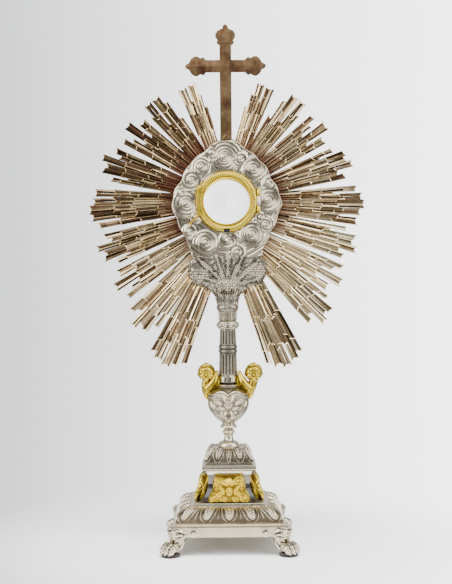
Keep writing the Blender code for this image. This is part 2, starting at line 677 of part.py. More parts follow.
def hinge_pin():
    """Headed pin through the case's barrel and the door's two."""
    reach = DOOR_KNUCKLE_TO
    low = (HINGE_X, HINGE_Y, LUNETTE_Z - reach - 0.5)
    high = (HINGE_X, HINGE_Y, LUNETTE_Z + reach + 2.2)
    pin = rod("hinge_pin", low, high, PIN_RADIUS, GILT, False, 20)
    head = (HINGE_X, HINGE_Y, LUNETTE_Z + reach + GAP)
    combine(pin, "UNION", [rod("hinge_pin_head", head, (*high[:2], high[2] - 0.4), 1.9, sides=20)])


def key_block():
    """Small black block on the case's flange that the notch in the closed door fits round."""
    low = (-4.0, -17.4, LUNETTE_Z - 48.0)
    high = (4.0, -CASE_HALF_DEPTH - GAP, LUNETTE_Z - 42.4)
    box("door_key_block", low, high, BLACK, False)


def latch_outline():
    """The latch arm seen from the door side: an eye, an arm that follows the ring, and a thumb prong."""
    middle = math.degrees(math.atan2(LATCH_Z - LUNETTE_Z, LATCH_X))

    def on_ring(radius, degrees):
        """A point by distance from the lunette's centre and angle past the eye."""
        angle = math.radians(middle + degrees)
        return radius * math.cos(angle), LUNETTE_Z + radius * math.sin(angle)

    eye = []
    for step in range(17):
        turn = math.radians(-55 + 279 * step / 16)
        eye.append((LATCH_X + LATCH_EYE * math.cos(turn), LATCH_Z + LATCH_EYE * math.sin(turn)))
    outer_side = [on_ring(LATCH_ARM_OUTER, degrees) for degrees in range(9, 50, 8)]
    prong = [(-49.0, 501.5), (-54.0, 495.5), (-59.4, 490.4), (-57.6, 488.8), (-50.5, 494.8), (-43.5, 500.8)]
    inner_side = [on_ring(LATCH_ARM_INNER, degrees) for degrees in range(49, 8, -8)]
    return eye + outer_side + prong + inner_side


def latch():
    """Swinging latch arm and the screw that it turns on."""
    back = DOOR_FRONT + GAP
    front = back + 2.0
    hole = ring_points(LATCH_BORE, LATCH_X, LATCH_Z, 24)
    arm = plate("latch_arm", [latch_outline(), hole], -front, -back, GILT)
    pivot = bpy.data.objects.new("latch_pivot", None)
    pivot.location = (LATCH_X * MM, -back * MM, LATCH_Z * MM)
    bpy.data.collections["monstrance"].objects.link(pivot)
    bpy.context.view_layer.update()
    arm.parent = pivot
    arm.matrix_parent_inverse = pivot.matrix_world.inverted()
    head = front + GAP
    screw = rod("latch_screw", (LATCH_X, -head - 1.8, LATCH_Z), (LATCH_X, -head, LATCH_Z), 0.7 * LATCH_HEAD,
                GILT, False, 20, end_radius=LATCH_HEAD)
    shank = rod("latch_screw_shank", (LATCH_X, -head - 1.0, LATCH_Z), (LATCH_X, -13.8, LATCH_Z), LATCH_SCREW,
                sides=24)
    combine(screw, "UNION", [shank])


def luna():
    """The sliding holder for the host: a gilt ring with a glass in its groove."""
    face_turned("luna_ring", [
        (LUNA_OUTER, 2.0), (LUNA_OUTER, -2.0), (GLASS_CLEAR, -2.0), (GLASS_CLEAR, -1.0), (36.6, -1.0),
        (36.6, 1.0),
        (GLASS_CLEAR, 1.0), (GLASS_CLEAR, 2.0),
    ], GILT)
    rod("luna_glass", (0, 0.7, LUNETTE_Z), (0, -0.7, LUNETTE_Z), 36.3, GLASS, False, RING_SIDES)


def build():
    """Every part of the monstrance, from the floor up."""
    start_empty()
    foot_pads()
    for corner, (side_x, side_y) in CORNERS.items():
        paw_foot(corner, side_x, side_y)
    base_plinth()
    base_pedestal()
    cartouches()
    base_cap()
    stem_foot()
    knop_urn()
    stem_column()
    stem_ring()
    capital()
    cherub("cherub_left", -1, 34.0)
    cherub("cherub_right", 1, 40.0)
    tie_rod_and_nut()
    glory_strap()
    ray_bundles()
    cloud_plates()
    sprays()
    cross_and_screw()
    lunette_case()
    front_bezel_and_glass()
    door()
    hinge_pin()
    key_block()
    latch()
    luna()


build()
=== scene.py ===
"""Looks of the altar monstrance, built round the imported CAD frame. Sizes here are in millimetres."""
import json
import math

import bmesh
import bpy
import numpy as np
from mathutils import Matrix, Vector


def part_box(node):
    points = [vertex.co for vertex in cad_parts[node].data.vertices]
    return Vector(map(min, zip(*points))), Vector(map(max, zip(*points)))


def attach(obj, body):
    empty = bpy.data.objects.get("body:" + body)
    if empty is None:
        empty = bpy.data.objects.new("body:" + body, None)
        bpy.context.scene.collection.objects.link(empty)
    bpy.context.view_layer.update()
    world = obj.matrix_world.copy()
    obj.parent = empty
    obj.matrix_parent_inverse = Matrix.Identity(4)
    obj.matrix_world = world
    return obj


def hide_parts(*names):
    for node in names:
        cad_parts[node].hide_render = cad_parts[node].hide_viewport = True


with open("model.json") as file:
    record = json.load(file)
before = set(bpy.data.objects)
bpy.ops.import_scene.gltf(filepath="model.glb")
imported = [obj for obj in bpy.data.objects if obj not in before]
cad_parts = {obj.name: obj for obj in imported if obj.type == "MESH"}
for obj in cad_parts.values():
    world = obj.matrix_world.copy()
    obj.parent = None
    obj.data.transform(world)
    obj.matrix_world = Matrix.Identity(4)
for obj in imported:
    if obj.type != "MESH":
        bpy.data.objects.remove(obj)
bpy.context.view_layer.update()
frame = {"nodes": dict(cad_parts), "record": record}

MM = 0.001


def box_mm(node):
    """Lowest and highest corner of a CAD node, in millimetres."""
    low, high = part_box(node)
    return np.array(low) / MM, np.array(high) / MM


def middle_mm(node):
    """Middle of a CAD node, in millimetres."""
    low, high = box_mm(node)
    return [float(value) for value in (low + high) / 2]


def heights_mm(node):
    """Lowest and highest level of a CAD node, in millimetres."""
    low, high = box_mm(node)
    return low[2], high[2]


GAP = 0.3
LUNETTE_Z = middle_mm("door_glass")[2]
CASE_HALF_DEPTH = float(box_mm("lunette_case")[1][1])
DOOR_BACK = CASE_HALF_DEPTH + GAP
DOOR_FRONT = 17.0
CLOUD_FAR = float(box_mm("clouds_front_side")[1][1])
CLOUD_NEAR = float(box_mm("clouds_front_side")[0][1])
CASE_HOLE = 41.0


# ---- number helpers -------------------------------------------------------------------------------

def ramp(low, high, value):
    """Smooth step from 0 at low to 1 at high."""
    share = np.clip((value - low) / (high - low), 0.0, 1.0)
    return share * share * (3 - 2 * share)


def bump(distance, width):
    """A rounded ridge: 1 on the line, 0 past its width."""
    return np.exp(-(distance / width) ** 2)


def resample(points, count):
    """Evenly spaced points along a smooth curve through the given ones."""
    points = np.array(points, float)
    run = np.concatenate([[0], np.cumsum(np.linalg.norm(np.diff(points, axis=0), axis=1))])
    wanted = np.linspace(0, run[-1], count)
    slope = np.gradient(points, run, axis=0)
    found = np.clip(np.searchsorted(run, wanted, side="right") - 1, 0, len(run) - 2)
    length = (run[found + 1] - run[found])[:, None]
    part = ((wanted - run[found])[:, None]) / length
    first, last = points[found], points[found + 1]
    return (first * (1 + 2 * part) * (1 - part) ** 2 + last * part ** 2 * (3 - 2 * part)
            + slope[found] * length * part * (1 - part) ** 2
            - slope[found + 1] * length * part ** 2 * (1 - part))


def polyline(points, count):
    """Evenly spaced points along straight runs."""
    points = np.array(points, float)
    run = np.concatenate([[0], np.cumsum(np.linalg.norm(np.diff(points, axis=0), axis=1))])
    wanted = np.linspace(0, run[-1], count)
    return np.stack([np.interp(wanted, run, points[:, axis]) for axis in range(points.shape[1])], -1)


def quarter(start, end, upright, count=12):
    """Quarter-ellipse points between two profile points; upright tells how it leaves the start."""
    turn = np.linspace(0, math.pi / 2, count)
    first, second = 1 - np.cos(turn), np.sin(turn)
    across, up = (first, second) if upright else (second, first)
    return np.stack([start[0] + (end[0] - start[0]) * across, start[1] + (end[1] - start[1]) * up], -1)


# ---- mesh building --------------------------------------------------------------------------------

class Shape:
    """Collects grids, balls and tubes with a relief value at each point, and makes one mesh of them."""

    def __init__(self):
        self.points, self.relief, self.faces, self.count = [], [], [], 0

    def add(self, points, faces, relief=0.7):
        """Points (n, 3) in millimetres with faces that index them."""
        points = np.asarray(points, float)
        self.points.append(points)
        self.relief.append(np.broadcast_to(np.asarray(relief, float).ravel(), len(points))
                           if np.size(relief) == 1 else np.asarray(relief, float).ravel())
        self.faces += [face + self.count for face in faces]
        self.count += len(points)

    def grid(self, points, relief=0.7, wrap_u=False, wrap_v=False):
        """A closed quad grid over points (u, v, 3), turned so that it faces outward."""
        nu, nv = points.shape[:2]
        index = np.arange(nu * nv).reshape(nu, nv)
        first_u = np.arange(nu if wrap_u else nu - 1)
        first_v = np.arange(nv if wrap_v else nv - 1)
        next_u, next_v = (first_u + 1) % nu, (first_v + 1) % nv
        corners = [index[np.ix_(first_u, first_v)], index[np.ix_(next_u, first_v)],
                   index[np.ix_(next_u, next_v)], index[np.ix_(first_u, next_v)]]
        quads = np.stack(corners, -1).reshape(-1, 4)
        flat = points.reshape(-1, 3)
        a, b, c, d = (flat[quads[:, k]] for k in range(4))
        volume = np.einsum("ij,ij->", a, np.cross(b, c)) + np.einsum("ij,ij->", a, np.cross(c, d))
        if volume < 0:
            quads = quads[:, ::-1]
        self.add(flat, [quads], np.broadcast_to(relief, (nu, nv)))

    def turned(self, profile, sides, relief=0.7, axis="Z", centre=(0.0, 0.0, 0.0)):
        """A solid turned from a closed profile (n, 2) of radius and height. Axis Y points at -Y."""
        turn = np.linspace(0, 2 * math.pi, sides, endpoint=False)[:, None]
        radius, height = profile[None, :, 0], profile[None, :, 1]
        points = around_axis(radius * np.cos(turn), radius * np.sin(turn), height, axis)
        self.grid(points + np.array(centre), relief, wrap_u=True, wrap_v=True)

    def ball(self, centre, radii, turn=None, relief=0.8, detail=2):
        """An ellipsoid from a subdivided icosahedron."""
        points, faces = icosphere(detail)
        shaped = points * np.array(radii)
        if turn is not None:
            shaped = shaped @ np.array(turn.to_3x3()).T
        self.add(shaped + np.array(centre), [faces], relief)

    def tube(self, path, radius, sides=10, relief=0.7):
        """A round bar along a path, with closed ends. The radius may be one for each point."""
        path = np.asarray(path, float)
        count = len(path)
        radius = np.broadcast_to(radius, (count,))
        along = np.gradient(path, axis=0)
        along /= np.linalg.norm(along, axis=1)[:, None]
        guide = np.array([0.0, 1.0, 0.0])
        if abs(along[:, 1]).max() > 0.95:
            guide = np.array([1.0, 0.0, 0.0])
        side = np.cross(along, guide)
        side /= np.linalg.norm(side, axis=1)[:, None]
        other = np.cross(side, along)
        turn = np.linspace(0, 2 * math.pi, sides, endpoint=False)
        spokes = np.cos(turn)[None, :, None] * side[:, None] + np.sin(turn)[None, :, None] * other[:, None]
        rings = path[:, None] + radius[:, None, None] * spokes
        index = np.arange(count * sides).reshape(count, sides)
        after = np.roll(index, -1, 1)
        quads = np.stack([index[:-1], index[1:], after[1:], after[:-1]], -1).reshape(-1, 4)
        ends = np.array([[count * sides, index[0, k], after[0, k]] for k in range(sides)])
        tips = np.array([[count * sides + 1, after[-1, k], index[-1, k]] for k in range(sides)])
        points = np.vstack([rings.reshape(-1, 3), path[:1], path[-1:]])
        self.add(points, [quads, ends, tips], relief)

    def mesh(self, name):
        """The collected mesh, smooth shaded, with its relief attribute."""
        data = bpy.data.meshes.new(name)
        points = np.vstack(self.points) * MM
        data.vertices.add(len(points))
        data.vertices.foreach_set("co", points.astype(np.float32).ravel())
        sizes = np.concatenate([np.full(len(faces), faces.shape[1]) for faces in self.faces])
        corners = np.concatenate([faces.ravel() for faces in self.faces]).astype(np.int32)
        data.loops.add(len(corners))
        data.loops.foreach_set("vertex_index", corners)
        data.polygons.add(len(sizes))
        data.polygons.foreach_set("loop_start",
                                  np.concatenate([[0], np.cumsum(sizes)[:-1]]).astype(np.int32))
        data.update(calc_edges=True)
        data.validate()
        data.shade_smooth()
        relief = data.attributes.new("relief", "FLOAT", "POINT")
        relief.data.foreach_set("value", np.concatenate(self.relief).astype(np.float32))
        return data


ICOSPHERES = {}


def icosphere(detail):
    """Points and triangles of a unit icosphere."""
    if detail not in ICOSPHERES:
        work = bmesh.new()
        bmesh.ops.create_icosphere(work, subdivisions=detail, radius=1.0)
        points = np.array([vertex.co for vertex in work.verts])
        faces = np.array([[vertex.index for vertex in face.verts] for face in work.faces])
        work.free()
        ICOSPHERES[detail] = (points, faces)
    return ICOSPHERES[detail]


def piece(name, made, material, node, body="stand", sharp=None, turn=0.0):
    """An object from a Shape or a mesh that stands for a CAD node and rides on its body."""
    data = made.mesh(name) if isinstance(made, Shape) else made
    item = bpy.data.objects.new(name, data)
    item.rotation_euler.z = turn
    bpy.context.scene.collection.objects.link(item)
    data.materials.clear()
    data.materials.append(material)
    if sharp:
        data.set_sharp_from_angle(angle=math.radians(sharp))
    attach(item, body)
    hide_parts(node)


def around_axis(across, up, level, axis):
    """Points from two distances across an axis and one along it. Axis Y points at -Y."""
    level = np.broadcast_to(level, across.shape)
    return np.stack([across, -level, up] if axis == "Y" else [across, up, level], -1)


# ---- materials ------------------------------------------------------------------------------------

class Tree:
    """Short calls for building a node tree."""

    def __init__(self, tree):
        self.tree = tree

    def new(self, kind, **values):
        """A node with attributes and inputs set by name."""
        node = self.tree.nodes.new(kind)
        for key, value in values.items():
            if key in node.inputs:
                node.inputs[key].default_value = value
            else:
                setattr(node, key, value)
        return node

    def link(self, output, target):
        """Joins an output to an input."""
        self.tree.links.new(output, target)

    def ramp(self, value, stops):
        """A colour ramp; each stop is (place, colour)."""
        node = self.new("ShaderNodeValToRGB")
        while len(node.color_ramp.elements) < len(stops):
            node.color_ramp.elements.new(0.5)
        for element, (place, colour) in zip(node.color_ramp.elements, stops):
            element.position = place
            element.color = (*colour, 1.0) if len(colour) == 3 else colour
        self.link(value, node.inputs["Fac"])
        return node.outputs["Color"]

    def math(self, operation, first, second=0.0, clamp=False):
        """A math node; inputs are outputs or numbers."""
        node = self.new("ShaderNodeMath", operation=operation, use_clamp=clamp)
        for slot, value in zip(node.inputs, (first, second)):
            if isinstance(value, (int, float)):
                slot.default_value = value
            else:
                self.link(value, slot)
        return node.outputs[0]

    def mix(self, share, first, second):
        """A colour mix; the share is an output, the colours are outputs or tuples."""
        node = self.new("ShaderNodeMix", data_type="RGBA")
        for key, value in ((0, share), (6, first), (7, second)):
            if isinstance(value, tuple):
                node.inputs[key].default_value = (*value, 1.0)
            else:
                self.link(value, node.inputs[key])
        return node.outputs[2]


class Nodes(Tree):
    """One material's node tree."""

    def __init__(self, name):
        self.material = bpy.data.materials.new(name)
        self.material.use_nodes = True
        super().__init__(self.material.node_tree)
        self.shader = self.tree.nodes["Principled BSDF"]
        self.position = self.new("ShaderNodeTexCoord").outputs["Object"]

    def noise(self, scale, detail=4.0, rough=0.6, stretch=None):
        """A noise value between 0 and 1 over the object's own position, in metres."""
        node = self.new("ShaderNodeTexNoise", Scale=scale, Detail=detail, Roughness=rough)
        source = self.position
        if stretch:
            mapping = self.new("ShaderNodeMapping")
            mapping.inputs["Scale"].default_value = stretch
            self.link(source, mapping.inputs["Vector"])
            source = mapping.outputs["Vector"]
        self.link(source, node.inputs["Vector"])
        return node.outputs["Fac"]

    def colour_and_gloss(self, colour, rough, metallic=1.0):
        """Links the base colour and the roughness, and sets how metallic the surface is."""
        self.link(colour, self.shader.inputs["Base Color"])
        self.link(rough, self.shader.inputs["Roughness"])
        self.shader.inputs["Metallic"].default_value = metallic

    def attribute(self, name):
        """A float attribute of the mesh."""
        return self.new("ShaderNodeAttribute", attribute_name=name).outputs["Fac"]

    def set_bump(self, height, strength, distance):
        """Bump from a height value, distance in metres."""
        node = self.new("ShaderNodeBump", Strength=strength, Distance=distance)
        self.link(height, node.inputs["Height"])
        self.link(node.outputs["Normal"], self.shader.inputs["Normal"])


def metal(name, bright, hollow, rough, spots=None, spot_amount=0.0, relief=True):
    """Worked metal: bright where high, oxidised in hollows, unevenly polished, finely scratched."""
    made = Nodes(name)
    cloudy = made.noise(45.0, 3.0)
    fine = made.noise(900.0, 3.0, 0.7)
    if relief:
        level = made.math("ADD", made.attribute("relief"),
                          made.math("MULTIPLY", made.math("SUBTRACT", cloudy, 0.5), 0.35))
    else:
        level = made.math("ADD", made.math("MULTIPLY", cloudy, 0.5), 0.45)
    middle = tuple(0.55 * a + 0.45 * b for a, b in zip(bright, hollow))
    colour = made.ramp(level, [(0.08, hollow), (0.36, middle), (0.62, bright),
                               (1.0, tuple(min(1, 1.06 * c) for c in bright))])
    if spots:
        patch = made.ramp(made.noise(150.0, 5.0, 0.7), [(0.52, (0, 0, 0)), (0.68, (1, 1, 1))])
        colour = made.mix(made.math("MULTIPLY", patch, spot_amount), colour, spots)
    gloss = made.math("MULTIPLY", made.math("SUBTRACT", made.math("ADD", cloudy, fine), 1.0), 0.30)
    base = made.math("ADD", gloss, rough)
    if relief:
        dull = made.math("MULTIPLY", made.math("SUBTRACT", 0.6, level), 0.5, clamp=True)
        base = made.math("ADD", base, dull)
    made.colour_and_gloss(colour, made.math("MAXIMUM", base, 0.08))
    made.set_bump(fine, 0.18, 0.0002)
    return made.material


SILVER_BRIGHT = (0.83, 0.735, 0.545)
SILVER_HOLLOW = (0.13, 0.105, 0.072)
# Painted shade: a darker copy of the silver for the stem, the base's cap and the sprays
STEM_SHADED_BRIGHT = (0.56, 0.50, 0.385)
STEM_SHADED_HOLLOW = (0.09, 0.08, 0.062)
GILT_BRIGHT = (0.80, 0.585, 0.058)
GILT_HOLLOW = (0.17, 0.10, 0.012)


def ray_metal():
    """Pale brass: every face of a fold has its own tone of painted light and shade with tarnish, tarnished
    reddish brown near the clouds.
    """
    made = Nodes("ray_brass")
    tarnish_and_sheen = made.attribute("tarnish_and_sheen")
    reach = made.attribute("reach")
    streak = made.noise(42.0, 4.0, 0.65)
    level = made.math("ADD", tarnish_and_sheen, made.math("MULTIPLY", made.math("SUBTRACT", streak, 0.5), 0.55))
    colour = made.ramp(level, [(0.02, (0.036, 0.024, 0.013)), (0.25, (0.12, 0.080, 0.040)),
                               (0.5, (0.40, 0.28, 0.14)), (0.74, (0.82, 0.62, 0.34)),
                               (1.0, (1.0, 0.84, 0.54))])
    blotch = made.ramp(made.noise(24.0, 3.0), [(0.46, (0, 0, 0)), (0.60, (1, 1, 1))])
    root = made.math("SUBTRACT", 1.0, made.math("MULTIPLY", reach, 3.4), clamp=True)
    dull = made.math("MULTIPLY", made.math("SUBTRACT", 1.0, tarnish_and_sheen), blotch)
    tint = made.math("ADD", made.math("MULTIPLY", root, 1.15), made.math("MULTIPLY", dull, 0.35),
                     clamp=True)
    colour = made.mix(tint, colour, (0.10, 0.032, 0.021))
    fine = made.noise(1100.0, 3.0, 0.7)
    gloss = made.math("ADD", made.math("MULTIPLY", fine, 0.16), 0.06)
    made.colour_and_gloss(colour, made.math("ADD", gloss, made.math("MULTIPLY", tint, 0.25)))
    made.set_bump(fine, 0.12, 0.0002)
    return made.material


def cross_metal():
    """Brown tarnished brass with coppery blotches and vertical wipe marks."""
    made = Nodes("cross_brass")
    wide = made.noise(38.0, 5.0, 0.65)
    wipes = made.noise(90.0, 4.0, 0.7, (1.0, 1.0, 0.22))
    colour = made.ramp(wide, [(0.30, (0.060, 0.032, 0.017)), (0.45, (0.15, 0.088, 0.042)),
                              (0.60, (0.24, 0.158, 0.078)), (0.80, (0.40, 0.29, 0.15))])
    copper = made.ramp(wipes, [(0.50, (0, 0, 0)), (0.70, (1, 1, 1))])
    colour = made.mix(made.math("MULTIPLY", copper, 0.65), colour, (0.10, 0.022, 0.012))
    fine = made.noise(700.0, 4.0, 0.7)
    made.colour_and_gloss(colour, made.math("ADD", made.math("MULTIPLY", fine, 0.35), 0.25), 0.9)
    made.set_bump(made.math("ADD", fine, wide), 0.25, 0.0003)
    return made.material


def felt_material(name, colour):
    """Dark fibrous pad: a fuzzy bump and patchy colour."""
    made = Nodes(name)
    fibres = made.noise(1600.0, 5.0, 0.8)
    tone = made.ramp(fibres, [(0.3, tuple(0.6 * c for c in colour)), (0.7, tuple(1.7 * c for c in colour))])
    made.link(tone, made.shader.inputs["Base Color"])
    made.shader.inputs["Roughness"].default_value = 0.92
    made.shader.inputs["Sheen Weight"].default_value = 0.25
    made.set_bump(fibres, 0.6, 0.0006)
    return made.material


def glass_material():
    """Clear thin pane with a trace of wipe marks in its gloss."""
    made = Nodes("clear_glass")
    smear = made.noise(25.0, 4.0, 0.6)
    made.link(made.math("MULTIPLY", smear, 0.05), made.shader.inputs["Roughness"])
    made.shader.inputs["Base Color"].default_value = (0.99, 1.0, 1.0, 1.0)
    made.shader.inputs["Transmission Weight"].default_value = 1.0
    made.shader.inputs["IOR"].default_value = 1.08
    return made.material


SILVER = metal("silver_plate", SILVER_BRIGHT, SILVER_HOLLOW, 0.18)
# Painted shade: the same silver made darker
SHADED_STEM_SILVER = metal("stem_silver_painted_shade", STEM_SHADED_BRIGHT, STEM_SHADED_HOLLOW, 0.18)
# Painted shade: a darker copy of the silver for the paws
SHADED_PAW_SILVER = metal("paw_silver_painted_shade", (0.70, 0.62, 0.465), (0.06, 0.05, 0.035), 0.13)
SILVER_SMOOTH = metal("silver_smooth", (0.78, 0.765, 0.73), (0.5, 0.47, 0.42), 0.22,
                      (0.42, 0.36, 0.28), 0.25)
DARK_SILVER = metal("oxidised_silver", (0.36, 0.365, 0.375), (0.16, 0.16, 0.165), 0.25,
                    (0.2, 0.15, 0.12), 0.4)
GILT = metal("gilding", GILT_BRIGHT, GILT_HOLLOW, 0.18)
GILT_PLAIN = metal("gilding_plain", GILT_BRIGHT, (0.6, 0.42, 0.09), 0.32, relief=False)
STEEL = metal("rod_steel", (0.55, 0.55, 0.56), (0.3, 0.28, 0.26), 0.35, relief=False)
RAY_BRASS = ray_metal()
CROSS_BRASS = cross_metal()
FELT = felt_material("dark_pad", (0.020, 0.011, 0.010))
BLACK = felt_material("black_block", (0.003, 0.003, 0.0035))
GLASS = glass_material()


# ---- rays -----------------------------------------------------------------------------------------

# Ray bundles fan out from an apex on the centre line. Each row: apex above the lunette's centre, angle
# right and left, root distance, root and tip width, longest blade, pattern, and whether the left bundle
# mirrors the right one.
RAY_BUNDLES = (
    (18, 70.5, 71.0, 60, 22, 38, 173, "pair", True),
    (18, 52.5, 51.8, 44, 21, 46, 181, "stepped_pair", True),
    (12, 34.7, 34.5, 50, 24, 52, 187, "trident", False),
    (4, 17.5, 17.4, 58, 24, 57, 203, "crown", False),
    (0, -1.9, -2.5, 60, 30, 64, 213, "wide", False),
    (-12, -16.2, -18.2, 60, 26, 54, 210, "crown", False),
    (-26, -29.3, -31.8, 50, 22, 50, 203, "trident", False),
    (-33, -43.8, -48.6, 50, 24, 57, 216, "crown", False),
    (-38, -66.8, -65.5, 60, 29, 62, 236, "long", True),
)
# Blades of each pattern, counter-clockwise: share of the width, and how much shorter than the longest
RAY_PATTERNS = {
    "pair": ((4.7, 2), (1.0, 25), (4.3, 0), (1.7, 18), (2.0, 40)),
    "stepped_pair": ((1.5, 20), (4.0, 0), (1.0, 44), (4.3, 0), (2.2, 15), (2.5, 48)),
    "trident": ((4.0, 16), (1.2, 40), (4.1, 0), (1.4, 38), (2.4, 20), (2.6, 9)),
    "crown": ((2.8, 17), (2.0, 25), (3.0, 0), (2.5, 9), (2.6, 6), (1.0, 45), (2.3, 23)),
    "wide": ((3.5, 11), (1.0, 35), (3.3, 6), (4.0, 0), (3.3, 4), (0.8, 45), (2.7, 13)),
    "long": ((2.2, 14), (0.8, 30), (3.2, 6), (3.0, 0), (0.8, 34), (3.0, 5), (2.4, 13)),
}
# Painted light and shade: how much lighter or darker the faces of each bundle are, right and left
RAY_PAINTED_LIGHT = (
    (-0.16, -0.10, -0.06, -0.04, 0.08, 0.28, 0.46, 0.44, 0.10),
    (-0.06, -0.30, -0.42, -0.42, -0.34, -0.20, 0.02, 0.16, -0.06),
)
RAY_LAYER = 1.25
STRIP_RISE = 0.85
STRIP_STEP = 0.55
# Sections of a folded strip: shares of its width and the height of the fold there
RIDGE_FOLD = ((0.0, 0.05, 0.13, 0.50, 0.87, 0.95, 1.0), (0.0, 0.85, 0.25, 1.0, 0.25, 0.85, 0.0))
CHANNEL_FOLD = ((0.0, 0.04, 0.14, 0.52, 0.86, 0.96, 1.0), (0.0, 0.95, 1.0, 0.10, 1.0, 0.95, 0.0))
STRIP_ROWS = (0.0, 0.2, 0.4, 0.6, 0.8, 0.93)
RIM = 0.9
VISIBLE_FROM = 84.0               # where the bundles come out from behind the clouds
TARNISH_FROM, TARNISH_SPAN = 70.0, 150.0
# Tone of a strip's two broad faces, painted reflections with random tarnish, and how often each pair occurs
FACE_PAIRS = ((0.0, 0.40), (0.28, 0.85), (0.02, 0.95), (0.60, 0.75))
FACE_SHARES = (0.34, 0.26, 0.26, 0.14)


def strip(place_point, start, end, low, high, base, slant, dice):
    """Points and face tones of one folded strip, with a cut and upturned end: painted highlights on its
    lips and end, painted reflections with tarnish on its broad faces. Base is its height.
    """
    across, rise = (np.array(values) for values in (RIDGE_FOLD, CHANNEL_FOLD)[int(dice.integers(2))])
    middle = across - 0.5
    kind = dice.random()
    drift = dice.uniform(-0.22, 0.22)
    cut = slant * middle + 0.8 * (np.abs(middle) * 2 - 0.6)
    cut = cut - cut.max()
    share = low + (high - low) * across
    length = end - start
    distances = [start + length * row for row in STRIP_ROWS] + [end - 2.0 * RIM, end - RIM, end]
    wobble = dice.uniform(-0.012, 0.012)
    grid = np.zeros((len(distances), len(across), 3))
    for row, distance in enumerate(distances):
        reach = (distance - start) / length
        spread = (share - (low + high) / 2) * (1.05 - 0.08 * ramp(0.55, 0.85, reach)
                                               + 0.07 * ramp(0.9, 1.0, reach))
        grid[row] = place_point(distance + cut * ramp(0.55, 0.95, reach),
                                (low + high) / 2 + spread + wobble * math.sin(reach * 9 + kind * 20))
        grid[row, :, 1] = base + rise * STRIP_RISE + (0.35 if row == len(distances) - 1 else 0.0)
    first, second = dice.permutation(FACE_PAIRS[int(dice.choice(4, p=FACE_SHARES))])
    # Painted highlights along the lips, painted reflections on the two broad faces
    face = np.array([0.75, 1.0, first, second, 1.0, 0.75])
    tarnish_and_sheen = np.tile(face, (len(distances) - 1, 1))
    tarnish_and_sheen = tarnish_and_sheen * (1 + 0.08 * dice.standard_normal((len(distances) - 1, 1)))
    tarnish_and_sheen = tarnish_and_sheen + drift * np.linspace(-1, 1, len(distances) - 1)[:, None]
    # Painted highlight on the upturned end
    tarnish_and_sheen[-1] = 0.95
    return grid, np.clip(tarnish_and_sheen, 0.0, 1.0)


def bundle_strips(blades, longest, dice):
    """Strips of a bundle: low and high share of its width, length and slant; wide blades have two."""
    total = sum(share for share, _ in blades)
    strips = []
    low = 0.0
    for share, shortfall in blades:
        count = 2 if share > 2.9 else 1
        slant = dice.uniform(2.0, 4.5) * (1 if count == 2 else dice.choice((-1, 1)))
        for part in range(count):
            high = low + share / total / count
            strips.append((low - 0.002, high + 0.002, longest - shortfall, slant * (2 * part - 1)))
            low = high
    return strips


def ray_bundle(side, index):
    """A bundle of folded strips on both faces, in stepped tiers from the clouds outward."""
    (apex, angle_right, angle_left, root, root_width, tip_width, longest,
     pattern, mirrored_left) = RAY_BUNDLES[index]
    angle = math.radians(angle_right if side > 0 else angle_left)
    layer = RAY_LAYER if index % 2 else -RAY_LAYER
    dice = np.random.default_rng(100 * index + (7 if side > 0 else 3))
    shape = Shape()
    reaches, surface_looks = [], []

    def place_point(distance, share):
        """A point of the bundle from distance and share of the width, 0 at the upper edge."""
        width = root_width + (tip_width - root_width) * (distance - root) / (longest - root)
        across = (0.5 - share) * width
        x = distance * math.cos(angle) - across * math.sin(angle)
        z = distance * math.sin(angle) + across * math.cos(angle)
        return np.stack([side * x, np.zeros_like(x), LUNETTE_Z + apex + z], -1)

    blades = RAY_PATTERNS[pattern]
    if side > 0 or mirrored_left:
        blades = blades[::-1]
    strips = bundle_strips(blades, longest, dice)
    shelves = (dice.uniform(0.66, 0.80), dice.uniform(0.40, 0.52), dice.uniform(0.14, 0.24))
    for number, (low, high, length, slant) in enumerate(strips):
        tiers = [(low, high, length)]
        for shelf in shelves:
            past = (longest - VISIBLE_FROM) * (shelf + dice.uniform(-0.05, 0.05))
            end = VISIBLE_FROM + past - 6.0 * (number % 3 == 1)
            if end < length - 8.0:
                tiers.append((low, high, end))
        for level, (left, right, end) in enumerate(tiers):
            base = 0.40 + STRIP_STEP * level
            front, tarnish_and_sheen = strip(place_point, root, end, left, right, base, slant, dice)
            # Painted light and shade for the whole bundle
            tarnish_and_sheen = np.clip(tarnish_and_sheen + RAY_PAINTED_LIGHT[side < 0][index], 0.0, 1.0)
            for facing in (-1, 1):
                face = front.copy()
                face[..., 1] = layer + facing * front[..., 1]
                under = front.copy()
                under[..., 1] = layer + facing * (0.05 if level == 0 else base - 0.3)
                ring = np.concatenate([face, under[:, ::-1]], 1)
                cap_start = ring[:1].mean(1, keepdims=True).repeat(ring.shape[1], 1)
                cap_end = ring[-1:].mean(1, keepdims=True).repeat(ring.shape[1], 1)
                closed = np.concatenate([cap_start, ring, cap_end], 0)
                shape.grid(closed, wrap_v=True)
                around = np.concatenate([tarnish_and_sheen, np.full((len(tarnish_and_sheen), 8), 0.5)], 1)
                around = np.concatenate([around[:1], around, np.full((1, around.shape[1]), 1.0)], 0)
                surface_looks.append(around.ravel())
                distance = np.hypot(closed[..., 0], closed[..., 2] - LUNETTE_Z)
                reaches.append(((distance - TARNISH_FROM) / TARNISH_SPAN).ravel())
    hand = "right" if side > 0 else "left"
    name = f"ray_{hand}_{index + 1}"
    data = shape.mesh("blades_" + name)
    for key, domain, values in (("reach", "POINT", reaches), ("tarnish_and_sheen", "FACE", surface_looks)):
        found = data.attributes.new(key, "FLOAT", domain)
        found.data.foreach_set("value", np.concatenate(values).astype(np.float32))
    piece("blades_" + name, data, RAY_BRASS, name, sharp=4)


def rays():
    """All eighteen bundles."""
    for side in (1, -1):
        for index in range(len(RAY_BUNDLES)):
            ray_bundle(side, index)


